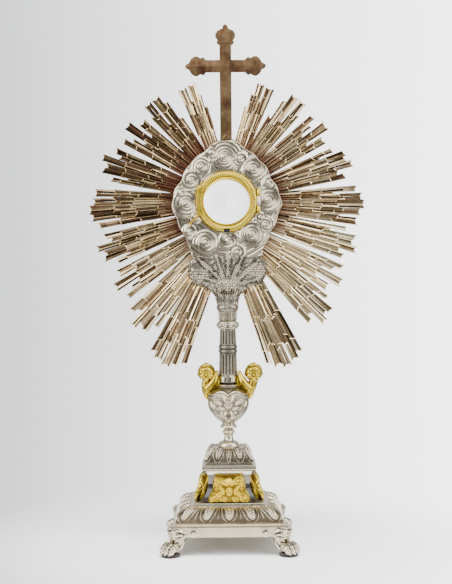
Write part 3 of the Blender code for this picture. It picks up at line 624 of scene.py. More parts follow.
# ---- clouds ---------------------------------------------------------------------------------------

CLOUD_OUTLINE = (
    (0, 96), (10, 95), (22, 89), (33, 80), (42, 73), (51, 65), (59, 57), (65, 46), (71, 33), (78, 22),
    (83, 10), (85, -3), (82, -17), (77, -30), (71, -44), (65, -57), (58, -69), (54, -84.5), (30, -86),
    (0, -86),
)
# Whorls of cloud: x, height over the lunette's centre, radius, turning direction
WHORLS = (
    (-3, 69, 27, 1), (42, 50, 19, -1), (64, 2, 22, 1), (-62, -2, 22, -1), (-54, 33, 17, 1),
    (-38, 54, 15, -1), (38, -50, 20, 1), (-33, -62, 18, -1), (-58, -46, 11, 1), (2, -60, 15, 1),
    (60, -36, 13, -1), (22, 66, 12, 1), (66, 28, 12, 1), (-70, 14, 9, 1), (-22, 76, 12, -1),
    (-47, -24, 9, 1), (52, -24, 9, -1), (16, -78, 12, -1),
)
WHORL_PITCH = 4.1


def cloud_height(x, z, flip):
    """Relief of the clouds: snail whorls that rise from a softly waved field, and each point's tone,
    tarnished in the furrows, with painted highlights on the whorls' bands.
    """
    field = 0.5 + 0.5 * np.sin(np.hypot(x, z) * 0.9 + 1.3 * np.sin(np.arctan2(z, x * flip) * 5))
    height = 1.9 + 0.45 * field
    tarnish_and_sheen = 0.60 + 0.26 * field
    for number, (centre_x, centre_z, radius, spin) in enumerate(WHORLS):
        across, up = x - flip * centre_x, z - centre_z
        far = np.hypot(across, up)
        angle = np.arctan2(up, across * flip)
        pitch = WHORL_PITCH * (0.9 + 0.3 * ((number * 7) % 5) / 5) * (0.75 + 0.4 * ramp(0, radius, far))
        wave = 0.5 + 0.5 * np.cos(2 * math.pi * (far / pitch + spin * angle / (2 * math.pi)))
        strength = 0.55 + 0.45 * np.cos(angle * 2 + number) * ramp(0.3 * radius, 0.8 * radius, far)
        inside = ramp(1.12, 0.88, far / radius)
        dome = np.sqrt(np.clip(1 - (0.72 * far / radius) ** 2, 0.0, 1.0))
        own = 1.6 + 1.7 * dome + 0.95 * wave * strength + 0.9 * bump(far, 0.13 * radius)
        # Painted highlights on the whorls' raised bands
        whorl_tarnish_and_sheen = 0.53 + 0.50 * wave * strength + 0.16 * dome
        height = height * (1 - inside) + np.maximum(own, height * 0.9) * inside
        tarnish_and_sheen = tarnish_and_sheen * (1 - inside) + whorl_tarnish_and_sheen * inside
        tarnish_and_sheen = tarnish_and_sheen - 0.26 * bump(far - 1.02 * radius, 0.9)
    along = np.clip(((x * flip - 13) * 14 - (z + 49) * 19) / 557, 0, 1)
    bar = bump(np.hypot(x * flip - 13 - 14 * along, z + 49 + 19 * along), 1.2)
    return height + 0.9 * bar, np.clip(tarnish_and_sheen + 0.5 * bar, 0.12, 1.0)


def whole_outline(half):
    """A closed outline from its right half, which runs from one point of the centre line to another."""
    return np.vstack([half, (half * [-1, 1])[::-1][1:-1]])


def relief_plate(shape, front, lip_y, back_y, tone):
    """A closed plate from the grid of its front: a lip round its edge and a flat back."""
    lip = front[:, -1:].copy()
    lip[..., 1] = lip_y
    back = front[:, [-1, 0]].copy()
    back[..., 1] = back_y
    tones = np.concatenate([tone, np.full((len(tone), 3), 0.3)], 1)
    shape.grid(np.concatenate([front, lip, back], 1), tones, wrap_u=True, wrap_v=True)


def clouds(side_name, facing, flip):
    """A cloud plate: a relief ring between the lunette's hole and the cloud's edge."""
    half = resample(CLOUD_OUTLINE[:-2], 260)
    bottom = polyline([half[-1], CLOUD_OUTLINE[-1]], 60)[1:]
    outline = whole_outline(np.vstack([half, bottom]))
    swell = 1.0 + 0.012 * np.cos(np.arctan2(outline[:, 1], outline[:, 0]) * 17 + 1.0)
    outline = outline * swell[:, None]
    along = np.arctan2(outline[:, 1], outline[:, 0])
    hole = np.stack([np.cos(along), np.sin(along)], -1) * CASE_HOLE
    steps = np.linspace(0, 1, 84)
    flat = hole[:, None] + (outline - hole)[:, None] * steps[None, :, None]
    x, z = flat[..., 0], flat[..., 1]
    height, relief = cloud_height(x, z, flip)
    edge = np.maximum(ramp(0.0, 0.035, 1 - steps)[None], ramp(-74.0, -82.0, z))
    rim = ramp(0.0, 0.03, steps)[None]
    top = CLOUD_FAR - 3.0 + height * edge * (0.45 + 0.55 * rim)
    seat = ramp(42.0, 47.5, np.hypot(x, z))
    top = CLOUD_FAR - 1.6 + (top - CLOUD_FAR + 1.6) * seat
    front = np.stack([x, facing * top, z + LUNETTE_Z], -1)
    shape = Shape()
    relief_plate(shape, front, facing * (CLOUD_NEAR + 1.2), facing * CLOUD_NEAR,
                 relief * (0.35 + 0.65 * edge))
    piece("cloud_relief_" + side_name, shape, SILVER, "clouds_" + side_name)


# ---- shared builders for the worked pieces --------------------------------------------------------

def soften(profile, radius=0.5, count=4):
    """A closed profile with its corners rounded off."""
    profile = np.asarray(profile, float)
    rounded = []
    for before, corner, after in zip(np.roll(profile, 1, 0), profile, np.roll(profile, -1, 0)):
        back, ahead = before - corner, after - corner
        reach = min(radius, 0.4 * np.linalg.norm(back), 0.4 * np.linalg.norm(ahead))
        start = corner + back / max(np.linalg.norm(back), 1e-6) * reach
        end = corner + ahead / max(np.linalg.norm(ahead), 1e-6) * reach
        for share in np.linspace(0, 1, count):
            rounded.append((1 - share) ** 2 * start + 2 * share * (1 - share) * corner + share ** 2 * end)
    return np.array(rounded)


def profile_normals(profile):
    """Unit normals of an open profile that point to larger radius."""
    along = np.gradient(profile, axis=0)
    along /= np.maximum(np.linalg.norm(along, axis=1), 1e-9)[:, None]
    normal = np.stack([along[:, 1], -along[:, 0]], -1)
    if normal[:, 0].sum() < 0:
        normal = -normal
    return normal


def evaluated_mesh(item, name, boxes=()):
    """An object's mesh with its modifiers applied and boxes (low, high) cut out. The object is removed."""
    used = [item]
    for low, high in boxes:
        bpy.ops.mesh.primitive_cube_add(size=1.0)
        cutter = bpy.context.active_object
        cutter.location = (np.array(low) + np.array(high)) / 2 * MM
        cutter.scale = (np.array(high) - np.array(low)) * MM
        item.modifiers.new("cut", "BOOLEAN").object = cutter
        used.append(cutter)
    bpy.context.view_layer.update()
    shape = item.evaluated_get(bpy.context.evaluated_depsgraph_get())
    data = bpy.data.meshes.new_from_object(shape)
    data.name = name
    for spent in used:
        bpy.data.objects.remove(spent, do_unlink=True)
    return data


CREST_SPREAD = 3                  # rounds of averaging that a crest is measured against


def hollow_relief(data, gain):
    """Gives a mesh its relief attribute from its curvature: creases low, crests high."""
    count = len(data.vertices)
    points = np.zeros(count * 3)
    data.vertices.foreach_get("co", points)
    points = points.reshape(-1, 3)
    normals = np.zeros(count * 3)
    data.vertices.foreach_get("normal", normals)
    normals = normals.reshape(-1, 3)
    edges = np.zeros(len(data.edges) * 2, int)
    data.edges.foreach_get("vertices", edges)
    edges = edges.reshape(-1, 2)
    number = np.maximum(np.bincount(edges.ravel(), minlength=count), 1)[:, None]

    def spread_out(values):
        """Average of each point's neighbours."""
        total = np.zeros_like(values)
        for axis in range(values.shape[1]):
            total[:, axis] = (np.bincount(edges[:, 0], values[edges[:, 1], axis], count)
                              + np.bincount(edges[:, 1], values[edges[:, 0], axis], count))
        return total / number

    smooth = points
    for _ in range(CREST_SPREAD):
        smooth = spread_out(smooth)
    crest = np.einsum("ij,ij->i", points - smooth, normals)[:, None]
    crest = spread_out(crest)[:, 0]
    scale = np.percentile(np.abs(crest), 90) + 1e-12
    relief = np.clip(0.44 + gain * crest / scale, 0.0, 1.0)
    found = data.attributes.get("relief") or data.attributes.new("relief", "FLOAT", "POINT")
    found.data.foreach_set("value", relief.astype(np.float32))
    data.shade_smooth()
    return data


def fused(name, shape, voxel, rounds, gain, boxes=()):
    """One skin over a shape's overlapping balls and bars, smoothed, then cut by boxes (low, high)."""
    item = bpy.data.objects.new(name, shape.mesh(name + "_rough"))
    bpy.context.scene.collection.objects.link(item)
    skin = item.modifiers.new("skin", "REMESH")
    skin.mode = "VOXEL"
    skin.voxel_size = voxel * MM
    skin.adaptivity = 0.0
    smooth = item.modifiers.new("smooth", "SMOOTH")
    smooth.factor = 0.5
    smooth.iterations = rounds
    data = evaluated_mesh(item, name, boxes)
    return hollow_relief(data, gain)


def flat_part(name, outlines, y_low, y_high, round_edge):
    """A flat piece across Y with rounded edges, from closed outlines of (x, z)."""
    curve = bpy.data.curves.new(name, "CURVE")
    curve.dimensions = "2D"
    curve.fill_mode = "BOTH"
    curve.extrude = ((y_high - y_low) / 2 - round_edge) * MM
    curve.bevel_depth = round_edge * MM
    curve.bevel_resolution = 2
    curve.offset = -round_edge * MM
    for outline in outlines:
        spline = curve.splines.new("POLY")
        spline.points.add(len(outline) - 1)
        for point, (x, z) in zip(spline.points, outline):
            point.co = (x * MM, z * MM, 0.0, 1.0)
        spline.use_cyclic_u = True
    item = bpy.data.objects.new(name, curve)
    bpy.context.scene.collection.objects.link(item)
    data = evaluated_mesh(item, name)
    data.transform(Matrix.Translation((0, (y_low + y_high) / 2 * MM, 0))
                   @ Matrix.Rotation(math.radians(90), 4, "X"))
    work = bmesh.new()
    work.from_mesh(data)
    bmesh.ops.remove_doubles(work, verts=work.verts, dist=0.000001)
    bmesh.ops.recalc_face_normals(work, faces=work.faces)
    work.to_mesh(data)
    work.free()
    data.shade_smooth()
    return data


def circle(radius, x=0.0, z=0.0, sides=48):
    """Points of a circle."""
    turn = np.linspace(0, 2 * math.pi, sides, endpoint=False)
    return [(x + radius * math.cos(t), z + radius * math.sin(t)) for t in turn]


def with_inner(values, inner, count):
    """Columns of a worked outer profile, followed by those of its plain inner one."""
    return np.concatenate([np.broadcast_to(values, (count, values.shape[1])),
                           np.broadcast_to(inner, (count, len(inner)))], 1)


def worked_wall(shape, outer, inner, sides, height, axis="Z", centre=(0.0, 0.0, 0.0)):
    """A turned wall whose dense outer profile carries a relief: height(angle, radius, level, share)."""
    inner = np.asarray(inner, float)
    normal = profile_normals(outer)
    turn = np.linspace(0, 2 * math.pi, sides, endpoint=False)[:, None]
    share = np.linspace(0, 1, len(outer))[None]
    rise, tone = height(turn, outer[None, :, 0], outer[None, :, 1], share)
    radius = with_inner(outer[None, :, 0] + rise * normal[None, :, 0], inner[:, 0], sides)
    level = with_inner(outer[None, :, 1] + rise * normal[None, :, 1], inner[:, 1], sides)
    points = around_axis(radius * np.cos(turn), radius * np.sin(turn), level, axis) + np.array(centre)
    shape.grid(points, with_inner(tone, np.full(len(inner), 0.5), sides), wrap_u=True, wrap_v=True)


def square_wall(shape, outer, inner, samples, height):
    """A square moulding with mitred corners; relief is height(place along the side, half width)."""
    inner = np.asarray(inner, float)
    normal = profile_normals(outer)
    place = np.linspace(-1, 1, samples, endpoint=False)[:, None]
    half, level = outer[None, :, 0], outer[None, :, 1]
    rise, tone = height(place * half, half)
    fade = ramp(0.0, 0.02, 1 - np.abs(place))
    deep = with_inner(half + rise * fade * normal[None, :, 0], inner[:, 0], samples)
    level = with_inner(level + rise * fade * normal[None, :, 1], inner[:, 1], samples)
    along = place * with_inner(half, inner[:, 0], samples)
    sides = []
    for cosine, sine in ((1, 0), (0, 1), (-1, 0), (0, -1)):
        sides.append(np.stack([along * cosine + deep * sine, along * sine - deep * cosine, level], -1))
    tone = with_inner(tone, np.full(len(inner), 0.5), samples)
    shape.grid(np.concatenate(sides, 0), np.tile(tone, (4, 1)), wrap_u=True, wrap_v=True)


# ---- base -----------------------------------------------------------------------------------------

def tongue(x, level, width, length):
    """Height and cover of a leaf tongue that points down: a rim, a groove and a ribbed leaf."""
    place = np.clip((level - 0.8) / (length - 2.0), 0.0, 1.0)
    reach = width * np.sqrt(np.clip(1 - (1 - place) ** 3.6, 0, 1)) * (1 - 0.16 * ramp(0.75, 1.0, place))
    edge = np.abs(x) - reach
    rim = 2.1 * bump(edge + 0.9, 0.95)
    inner = 0.70 * width * np.sqrt(np.clip(1 - (1 - np.clip((level - 4.2) / (length - 5.5), 0, 1)) ** 3.0,
                                           0, 1))
    inside = ramp(-0.2, 0.9, inner - np.abs(x)) * ramp(3.6, 5.2, level)
    fan = np.arctan2(x, level + 1.0)
    ribs = 0.5 + 0.5 * np.cos(fan * 26.0)
    notch = 1 - 0.30 * bump(np.mod(level + np.abs(x) * 0.8, 4.4) - 2.2, 0.6)
    swell = 0.7 + 1.5 * (1 - (x / np.maximum(inner, 0.5)) ** 2).clip(0, 1)
    leaf = swell * (0.50 + 0.50 * ribs) * notch
    height = np.maximum(rim, inside * (leaf + 0.6 * bump(x, 0.7)))
    return height, edge < 0


def leaf_band(x, half, level, length, tongues):
    """A row of tongues with darts between. Centres are shares of half the side."""
    rise = 0.8 * bump(level - 0.6, 0.7) + 0.9 * bump(level - length + 1.0, 0.9)
    covered = np.zeros(np.broadcast(x, level).shape, bool)
    for centre, width in tongues:
        own, cover = tongue(x - centre * half, level, width, length)
        rise = np.maximum(rise, own)
        covered |= cover
    for first, second in zip(tongues[:-1], tongues[1:]):
        middle = (first[0] + second[0]) / 2 * half
        dart = 1.3 * bump(x - middle, 0.75) * ramp(0.10, 0.3, level / length)
        rise = np.where(covered, rise, np.maximum(rise, dart))
    tone = 0.02 + 0.98 * ramp(0.35, 1.7, rise)
    return rise, tone


def leafy_profile(head, curve, foot, tongues, tones):
    """A profile whose curve carries a leaf band, and its relief. Tones: deep, gain, and the plain rest."""
    outer = np.vstack([head, curve, foot])
    start, end = len(head), len(head) + len(curve)
    length = float(np.linalg.norm(np.diff(curve, axis=0), axis=1).sum())
    climb = np.zeros((1, len(outer)))
    climb[0, start:end] = np.linspace(length, 0, end - start)
    mask = np.zeros((1, len(outer)))
    mask[0, start:end] = ramp(0, 3, np.arange(end - start)) * ramp(0, 2, np.arange(end - start)[::-1])
    deep, gain, plain = tones

    def height(x, half):
        """Leaves on the curve and nothing on the rest."""
        rise, tone = leaf_band(x, half, climb, length, tongues)
        return rise * mask, np.where(mask > 0, deep + gain * tone, plain)

    return outer, height


def base_plinth():
    """Plain band, fillets and the leaf ovolo of the base, in one casting."""
    bottom, top = heights_mm("base_plinth")
    half = box_mm("base_plinth")[1][0]
    head = np.array([(40.0, top), (57.8, top), (58.7, top - 0.8), (58.7, 65.2)])
    ovolo = quarter((58.7, 64.3), (78.6, 46.0), False, 64)
    foot = np.array([(80.9, 45.8), (82.0, 45.0), (82.0, 42.6), (83.9, 42.0), (half, 40.8),
                     (half, bottom + 0.8), (half - 0.8, bottom)])
    tongues = [(step * 0.435, 12.2) for step in range(-2, 3)]
    outer, height = leafy_profile(head, ovolo, foot, tongues, (0.04, 0.70, 0.50))
    inner = [(half - 3, bottom), (half - 6, 43.0), (75.0, 45.5), (66.0, 56.0), (56.0, 62.0),
             (56.0, top - 3), (3.3, top - 3), (3.3, top)]
    shape = Shape()
    square_wall(shape, outer, inner, 260, height)
    piece("plinth_casting", shape, SILVER, "base_plinth", sharp=35)


def pedestal_material():
    """Dark grey on the cavetto, pale silver on the block above and the fillet below."""
    made = Nodes("pedestal_silver")
    split = made.new("ShaderNodeSeparateXYZ")
    made.link(made.position, split.inputs[0])
    level = split.outputs["Z"]
    cloudy = made.noise(40.0, 4.0)
    above = made.math("MULTIPLY", made.math("SUBTRACT", level, 0.0955), 1500.0, clamp=True)
    below = made.math("MULTIPLY", made.math("SUBTRACT", 0.0703, level), 1500.0, clamp=True)
    share = made.math("MAXIMUM", above, below)
    dark = made.ramp(cloudy, [(0.3, (0.12, 0.108, 0.102)), (0.7, (0.25, 0.238, 0.228))])
    pale = made.ramp(cloudy, [(0.3, (0.74, 0.68, 0.56)), (0.7, (0.90, 0.84, 0.71))])
    made.colour_and_gloss(made.mix(share, dark, pale),
                          made.math("ADD", made.math("MULTIPLY", cloudy, 0.2), 0.14))
    made.set_bump(made.noise(900.0, 3.0, 0.7), 0.12, 0.0002)
    return made.material


def plain_face(x, half):
    """No relief and one tone."""
    return np.zeros_like(x * half), np.full_like(x * half, 0.7)


def base_pedestal():
    """Cavetto, block and frieze, with softened edges."""
    bottom, top = heights_mm("base_pedestal")
    outer = np.vstack([[(20, top), (34.2, top), (34.8, top - 0.6), (34.8, top - 1.5), (32.6, 109.0),
                        (32.1, 108.6), (31.8, 108.2)], polyline([(31.8, 107), (31.8, 96)], 6),
                       quarter((31.8, 95.2), (52.7, 70.0), True, 28),
                       [(53.2, 69.9), (53.5, 69.5), (53.5, bottom)]])
    inner = [(50.2, bottom), (40, 72.5), (33.0, 80), (29.3, 95.2), (29.3, top - 2.5), (3.3, top - 2.5),
             (3.3, top)]
    shape = Shape()
    square_wall(shape, outer, inner, 40, plain_face)
    piece("pedestal_shell", shape, pedestal_material(), "base_pedestal", sharp=25)


def base_cap():
    """Two fillets and a dome of large leaves."""
    bottom, top = heights_mm("base_cap")
    dome = quarter((22.4, top), (35.1, 126.7), False, 56)
    rim = np.array([(35.8, 126.2), (35.8, 123.6), (36.3, 122.9), (39.6, 122.3), (40.8, 121.6),
                    (41.1, 120.6), (41.1, 118.4), (40.6, 117.2), (39.8, bottom)])
    tongues = ((-1.0, 9.0), (-0.5, 8.6), (0.0, 4.6), (0.5, 8.6), (1.0, 9.0))
    outer, height = leafy_profile([(12.0, top)], dome, rim, tongues, (0.08, 0.80, 0.60))
    inner = [(32.8, bottom), (32.5, 126.0), (29.5, 137.0), (20.0, top - 2.6), (3.3, top - 2.6), (3.3, top)]
    shape = Shape()
    square_wall(shape, outer, inner, 160, height)
    piece("cap_casting", shape, SHADED_STEM_SILVER, "base_cap", sharp=35)


def scroll(x, z, centre, radius, spin, pitch, rise):
    """Height of a volute: a dome with a spiral furrow."""
    depth = 0.65
    across, up = x - centre[0], z - centre[1]
    far = np.hypot(across, up)
    phase = far / pitch + spin * np.arctan2(up, across) / (2 * math.pi)
    furrow = 0.5 + 0.5 * np.cos(2 * math.pi * phase)
    dome = np.sqrt(np.clip(1 - (far / radius) ** 2, 0, 1))
    return rise * dome ** 0.7 * (1 - depth + depth * furrow) + 0.22 * rise * bump(far, 0.2 * radius)


# Front face of the cartouches: level against distance from the middle of the base
CARTOUCHE_FRONT = ((70.9, 51.8), (75, 50.0), (82, 46.4), (89, 44.6), (96, 43.8), (102, 42.4), (106, 40.0),
                   (109.2, 36.0))
# Its outline: level against half width
CARTOUCHE_HALF = ((70.9, 25), (72.2, 30.5), (76, 31.2), (80, 29.6), (83, 26.2), (88, 22.8), (94, 22.4),
                  (99, 23.4), (104, 23.2), (107, 20.0), (109.2, 13.5))


# Volutes of its right half: centre, radius, turning direction, pitch, rise
CARTOUCHE_SCROLLS = (((14.5, 101.4), 8.2, 1, 3.6, 3.0), ((22.4, 78.0), 8.4, -1, 3.7, 3.2),
                     ((10.6, 75.6), 5.2, 1, 3.0, 2.6), ((18.6, 90.5), 4.4, -1, 2.8, 2.6))
# Leaves of its right half: foot, size, direction
CARTOUCHE_LEAVES = (((7.0, 84.0), 13.0, 0.95), ((6.5, 83.0), 11.5, 0.1), ((3.0, 96.5), 11.0, 0.75),
                    ((12.0, 84.5), 9.5, -0.9), ((4.0, 79.5), 9.0, -1.1), ((15.0, 95.5), 9.0, 0.2))


def acanthus(x, z, centre, size, angle):
    """Height of a pointed leaf with a midrib and cut lobes, from its foot along an angle; 0 outside."""
    across, up = x - centre[0], z - centre[1]
    along = (across * math.cos(angle) + up * math.sin(angle)) / size
    aside = np.abs(-across * math.sin(angle) + up * math.cos(angle)) / size
    width = 0.36 * np.sqrt(np.clip(along, 0, 1)) * np.sqrt(np.clip(1 - along, 0, 1)) * 2.0
    lobes = 0.80 + 0.20 * np.cos((along * 3.2 + aside * 2.0) * 2 * math.pi)
    inside = ramp(0.0, 0.06, width * lobes - aside)
    vein = 0.62 + 0.38 * np.cos((along * 4.6 - aside * 6.0) * 2 * math.pi)
    return inside * (0.55 + 0.45 * vein + 0.5 * bump(aside * size, 0.7))


def cartouches():
    """Gilt relief shields: corner volutes, a ribbed shell, acanthus leaves and side scrolls."""
    levels = np.linspace(70.9, 109.2, 170)
    inner_wall = np.where(levels > 95.2, 31.8,
                          31.8 + 20.9 * (1 - np.sqrt(np.clip(1 - ((95.2 - levels) / 25.2) ** 2, 0, 1))))
    width = np.interp(levels, *np.array(CARTOUCHE_HALF).T) * (1 + 0.012 * np.cos(levels * 1.9))
    ground = np.interp(levels, *np.array(CARTOUCHE_FRONT).T)
    place = np.linspace(-1, 1, 210)[:, None]
    x = place * width[None]
    z = np.broadcast_to(levels[None], x.shape)
    edge = ramp(0, 0.09, 1 - np.abs(place)) * ramp(70.9, 72.2, z) * ramp(109.2, 107.6, z)
    relief = 0.25 * (0.5 + 0.5 * np.cos(x * 1.7) * np.cos(z * 1.4))
    for side in (-1, 1):
        turned = side * x
        for centre, radius, spin, pitch, rise in CARTOUCHE_SCROLLS:
            relief = np.maximum(relief, scroll(turned, z, centre, radius, side * spin, pitch, rise))
        for centre, size, angle in CARTOUCHE_LEAVES:
            relief = np.maximum(relief, 2.7 * acanthus(turned, z, centre, size, angle))
    fan_far, fan_angle = np.hypot(x, z - 93.0), np.arctan2(x, z - 93.0)
    shell = (0.55 + 0.45 * np.abs(np.cos(fan_angle * 5.5))) * ramp(14.5, 12.0, fan_far)
    shell = shell * ramp(1.0, 4.0, fan_far)
    relief = np.maximum(relief, 3.3 * shell * (np.abs(fan_angle) < 1.2))
    boss = np.hypot(x / 6.0, (z - 86.0) / 6.8)
    veins = 0.5 + 0.5 * np.cos(np.abs(x) * 2.6 + (z - 80) * 1.5)
    relief = np.maximum(relief, 3.4 * np.sqrt(np.clip(1 - boss ** 2, 0, 1)) * (0.66 + 0.34 * veins))
    beads = bump(np.hypot(np.mod(x + 1.9, 3.8) - 1.9, z - 94.0), 1.1) * (np.abs(x) < 7.6)
    relief = np.maximum(relief, 3.4 * beads)
    tone = (0.16 + 0.84 * ramp(0.4, 2.6, relief)) * (0.7 + 0.3 * edge)
    out = np.maximum(ground[None] + relief * edge * 0.95 - 1.2 * (1 - edge), inner_wall[None] + 0.8)
    front = np.stack([x, -out, z], -1)
    back = np.stack([x, -np.broadcast_to(inner_wall[None] + 0.35, x.shape), z], -1)
    points = np.concatenate([front, back[:, ::-1]], 1)
    points = np.concatenate([points[:1].mean(1, keepdims=True).repeat(points.shape[1], 1), points,
                             points[-1:].mean(1, keepdims=True).repeat(points.shape[1], 1)], 0)
    tones = np.concatenate([tone, np.full_like(tone, 0.55)], 1)
    tones = np.concatenate([tones[:1], tones, tones[-1:]], 0)
    shape = Shape()
    shape.grid(points, tones, wrap_v=True)
    data = shape.mesh("cartouche_relief")
    for index, side in enumerate(("door_side", "right_side", "front_side", "left_side")):
        piece("relief_" + side, data.copy(), GILT, "cartouche_" + side,
              turn=math.radians(90 * index))


def plinth_scroll(shape, half, on_door_side):
    """Scroll arms, a leaf and a spiral eye on one face of the plinth, beside the paw at (+X, -Y)."""

    def on_face(inset, level, proud=1.2):
        """A point on the plinth's face, by its distance from the corner."""
        first, second = half - inset, half + proud
        return np.array([first, -second, level] if on_door_side else [second, -first, level])

    def lying(wide, thin, tall):
        """Radii of a ball that lies flat on the face."""
        return (wide, thin, tall) if on_door_side else (thin, wide, tall)

    arm = [on_face(1, 27), on_face(8, 25.5), on_face(16, 27.5), on_face(24, 31)]
    shape.tube(resample(arm, 14), np.linspace(4.2, 2.2, 14), 12)
    upper = [on_face(1, 38), on_face(9, 39.5), on_face(17, 36.5), on_face(23, 31)]
    shape.tube(resample(upper, 14), np.linspace(3.2, 1.8, 14), 12)
    shape.ball(on_face(10, 32, 0.2), lying(8.0, 2.6, 6.0))
    eye = on_face(32, 33.0)
    spiral = np.linspace(0, 4.0 * math.pi, 44)
    far = 7.0 - 5.2 * spiral / spiral[-1]
    first, second = far * np.cos(spiral - 0.5), far * np.sin(spiral - 0.5)
    path = np.stack([-first, 0 * first, second] if on_door_side else [0 * first, first, second], -1)
    shape.tube(eye + path * [1, 1, 1.12], np.linspace(1.7, 1.2, 44), 10)
    shape.ball(eye, lying(6.4, 2.0, 7.2))
    shape.ball(eye, lying(1.9, 3.0, 1.9))


def paw_shape():
    """The lion paw at the corner (+X, -Y): toes outward, leaf knee over the plinth's corner, two ears."""
    half = box_mm("base_plinth")[1][0]
    base = box_mm("foot_pad_door_right")[1][2] + GAP
    outward = np.array([1.0, -1.0, 0.0]) / math.sqrt(2)
    across = np.array([1.0, 1.0, 0.0]) / math.sqrt(2)
    up = np.array([0.0, 0.0, 1.0])
    turn = Matrix.Rotation(math.radians(-45), 4, "Z")
    middle = np.array([*middle_mm("foot_pad_door_right")[:2], base])
    shape = Shape()

    def at(out, side, level):
        """A point by its distance outward, to the side and above the pad."""
        return middle + out * outward + side * across + level * up

    shape.ball(at(-3, 0, 7.5), (13.5, 12.0, 9.0), turn)
    shape.ball(at(-11, 0, 11), (10.0, 9.0, 9.5), turn)
    for side in (-9.2, -3.2, 3.2, 9.2):
        reach = 6.2 if abs(side) < 5 else 3.4
        shape.ball(at(reach - 4, side * 1.05, 11.0), (6.8, 4.0, 5.6), turn)
        shape.ball(at(reach + 0.6, side * 1.1, 8.8), (6.4, 4.1, 6.0), turn)
        shape.ball(at(reach + 4.8, side * 1.12, 5.4), (4.8, 3.8, 5.2), turn)
        shape.ball(at(reach + 8.2, side * 1.03, 2.2), (2.6, 1.3, 2.2), turn)
    shape.tube([at(-10, 0, 8), at(-14, 0, 16), at(-18, 0, 24), at(-20, 0, 32)],
               np.array([9.0, 9.5, 11.5, 12.5]), 20)
    for side in (-1, 1):
        curl = [at(-8, side * 9, 6), at(-14, side * 9.5, 11), at(-18, side * 8, 17), at(-15, side * 5, 21)]
        shape.tube(resample(curl, 12), np.linspace(2.2, 1.2, 12), 10)
        for row, (lift, out) in enumerate(((17, -6.5), (24, -5.0), (31, -5.5))):
            leaf = [at(out - 5, 0, lift - 4), at(out + 1.5, side * 4.5, lift),
                    at(out - 1.0, side * 10, lift + 3.5), at(out - 6, side * 13, lift + 2.5)]
            shape.tube(resample(leaf, 12), np.linspace(3.4, 1.5, 12), 10)
    shape.ball(at(-7, 0, 27.5), (9.5, 10.5, 9.5), turn)
    shape.tube([at(-3.0, 0, 14), at(1.5, 0, 24), at(0.5, 0, 31), at(-4, 0, 34.5)],
               np.array([1.6, 2.2, 2.2, 1.4]), 10)
    for side in (-1, 1):
        arch = [at(2, side * 1.0, 31), at(0, side * 6, 33.5), at(-6, side * 11, 34), at(-12, side * 14, 31)]
        shape.tube(resample(arch, 14), np.linspace(2.0, 1.3, 14), 10)
        shape.ball(at(-1.8, side * 5.2, 31.0), (3.4, 3.4, 3.8), turn)
    plinth_scroll(shape, half, True)
    plinth_scroll(shape, half, False)
    room = half + 0.25
    below_pad = ((-150, -150, -40), (150, 150, base))
    plinth_room = ((-room, -room, heights_mm("base_plinth")[0] - 0.25), (room, room, 90))
    return fused("paw_casting", shape, 0.55, 3, 0.5, (below_pad, plinth_room))


def feet():
    """Four castings from one mesh, and the felt-faced discs under them."""
    data = paw_shape()
    pad_low, pad_high = box_mm("foot_pad_door_right")
    radius, thick = (pad_high[0] - pad_low[0]) / 2, pad_high[2]
    centre = (pad_low + pad_high) / 2
    profile = soften([(radius, thick), (radius, 0), (0.01, 0), (0.01, thick)], 0.7)
    for index, corner in enumerate(("door_right", "front_right", "front_left", "door_left")):
        turn = math.radians(90 * index)
        piece("casting_" + corner, data.copy(), SHADED_PAW_SILVER, "paw_foot_" + corner, turn=turn)
        place = np.array(Matrix.Rotation(turn, 3, "Z")) @ np.array([centre[0], centre[1], 0.0])
        pad = Shape()
        pad.turned(profile, 48, centre=place)
        piece("felt_disc_" + corner, pad, FELT, "foot_pad_" + corner)


# ---- stem -----------------------------------------------------------------------------------------

def face_angle(turn):
    """Angle from the door side, positive to the right, between -pi and pi."""
    return np.mod(turn - 1.5 * math.pi + math.pi, 2 * math.pi) - math.pi


def nearest_face(angle):
    """Folds the front half onto the door side, so that both carry the same relief."""
    return np.where(np.abs(angle) > math.pi / 2, np.sign(angle) * math.pi - angle, angle)


BORE = 3.3


def stem_piece(name, node, outer, sides, height, material=SILVER, inner=None):
    """A turned and chased piece of the stem. Unless it is hollow, the tie rod's bore runs through it."""
    bottom, top = heights_mm(node)
    shape = Shape()
    worked_wall(shape, outer, inner or [(BORE, bottom), (BORE, top)], sides, height)
    piece(name, shape, material, node, sharp=40)


def stem_foot():
    """Round plate, concave neck and two beads."""
    bottom, top = heights_mm("stem_foot")
    key = [(9.3, top), (10.6, 182.2), (12.4, 179.8), (12.9, 178.2), (12.2, 176.9), (8.0, 175.6),
           (6.7, 174.6), (7.6, 173.0), (9.1, 171.2), (9.3, 169.6), (8.2, 167.6), (7.0, 165.8), (7.0, 162.0),
           (7.8, 158.4), (9.8, 156.0), (13.6, 155.0), (15.2, 153.8), (16.0, 152.0), (16.1, bottom + 0.6),
           (15.6, bottom)]

    def height(turn, radius, level, share):
        """Fine beads on the upper ring, dark hollows beside it and above the plate."""
        beads = 0.35 * bump(level - 170.4, 1.8) * (0.5 + 0.5 * np.cos(turn * 14))
        return beads, 0.56 - 0.35 * bump(level - 175.0, 1.4) - 0.3 * bump(level - 156.3, 1.0) + 0 * turn

    stem_piece("stem_foot_turned", "stem_foot", resample(key, 150), 112, height)


def heart_distance(across, up):
    """Signed distance to a heart whose point is down; negative inside."""
    across = np.abs(across)
    lobes = np.hypot(across - 11.5, up - 7.0) - 15.0
    sides = (across * 25.0 - (up + 23.5) * 23.5) / 34.3 - 4.0 * bump(up + 8.0, 15.0)
    return np.minimum(lobes, np.maximum(sides, up - 7.0))


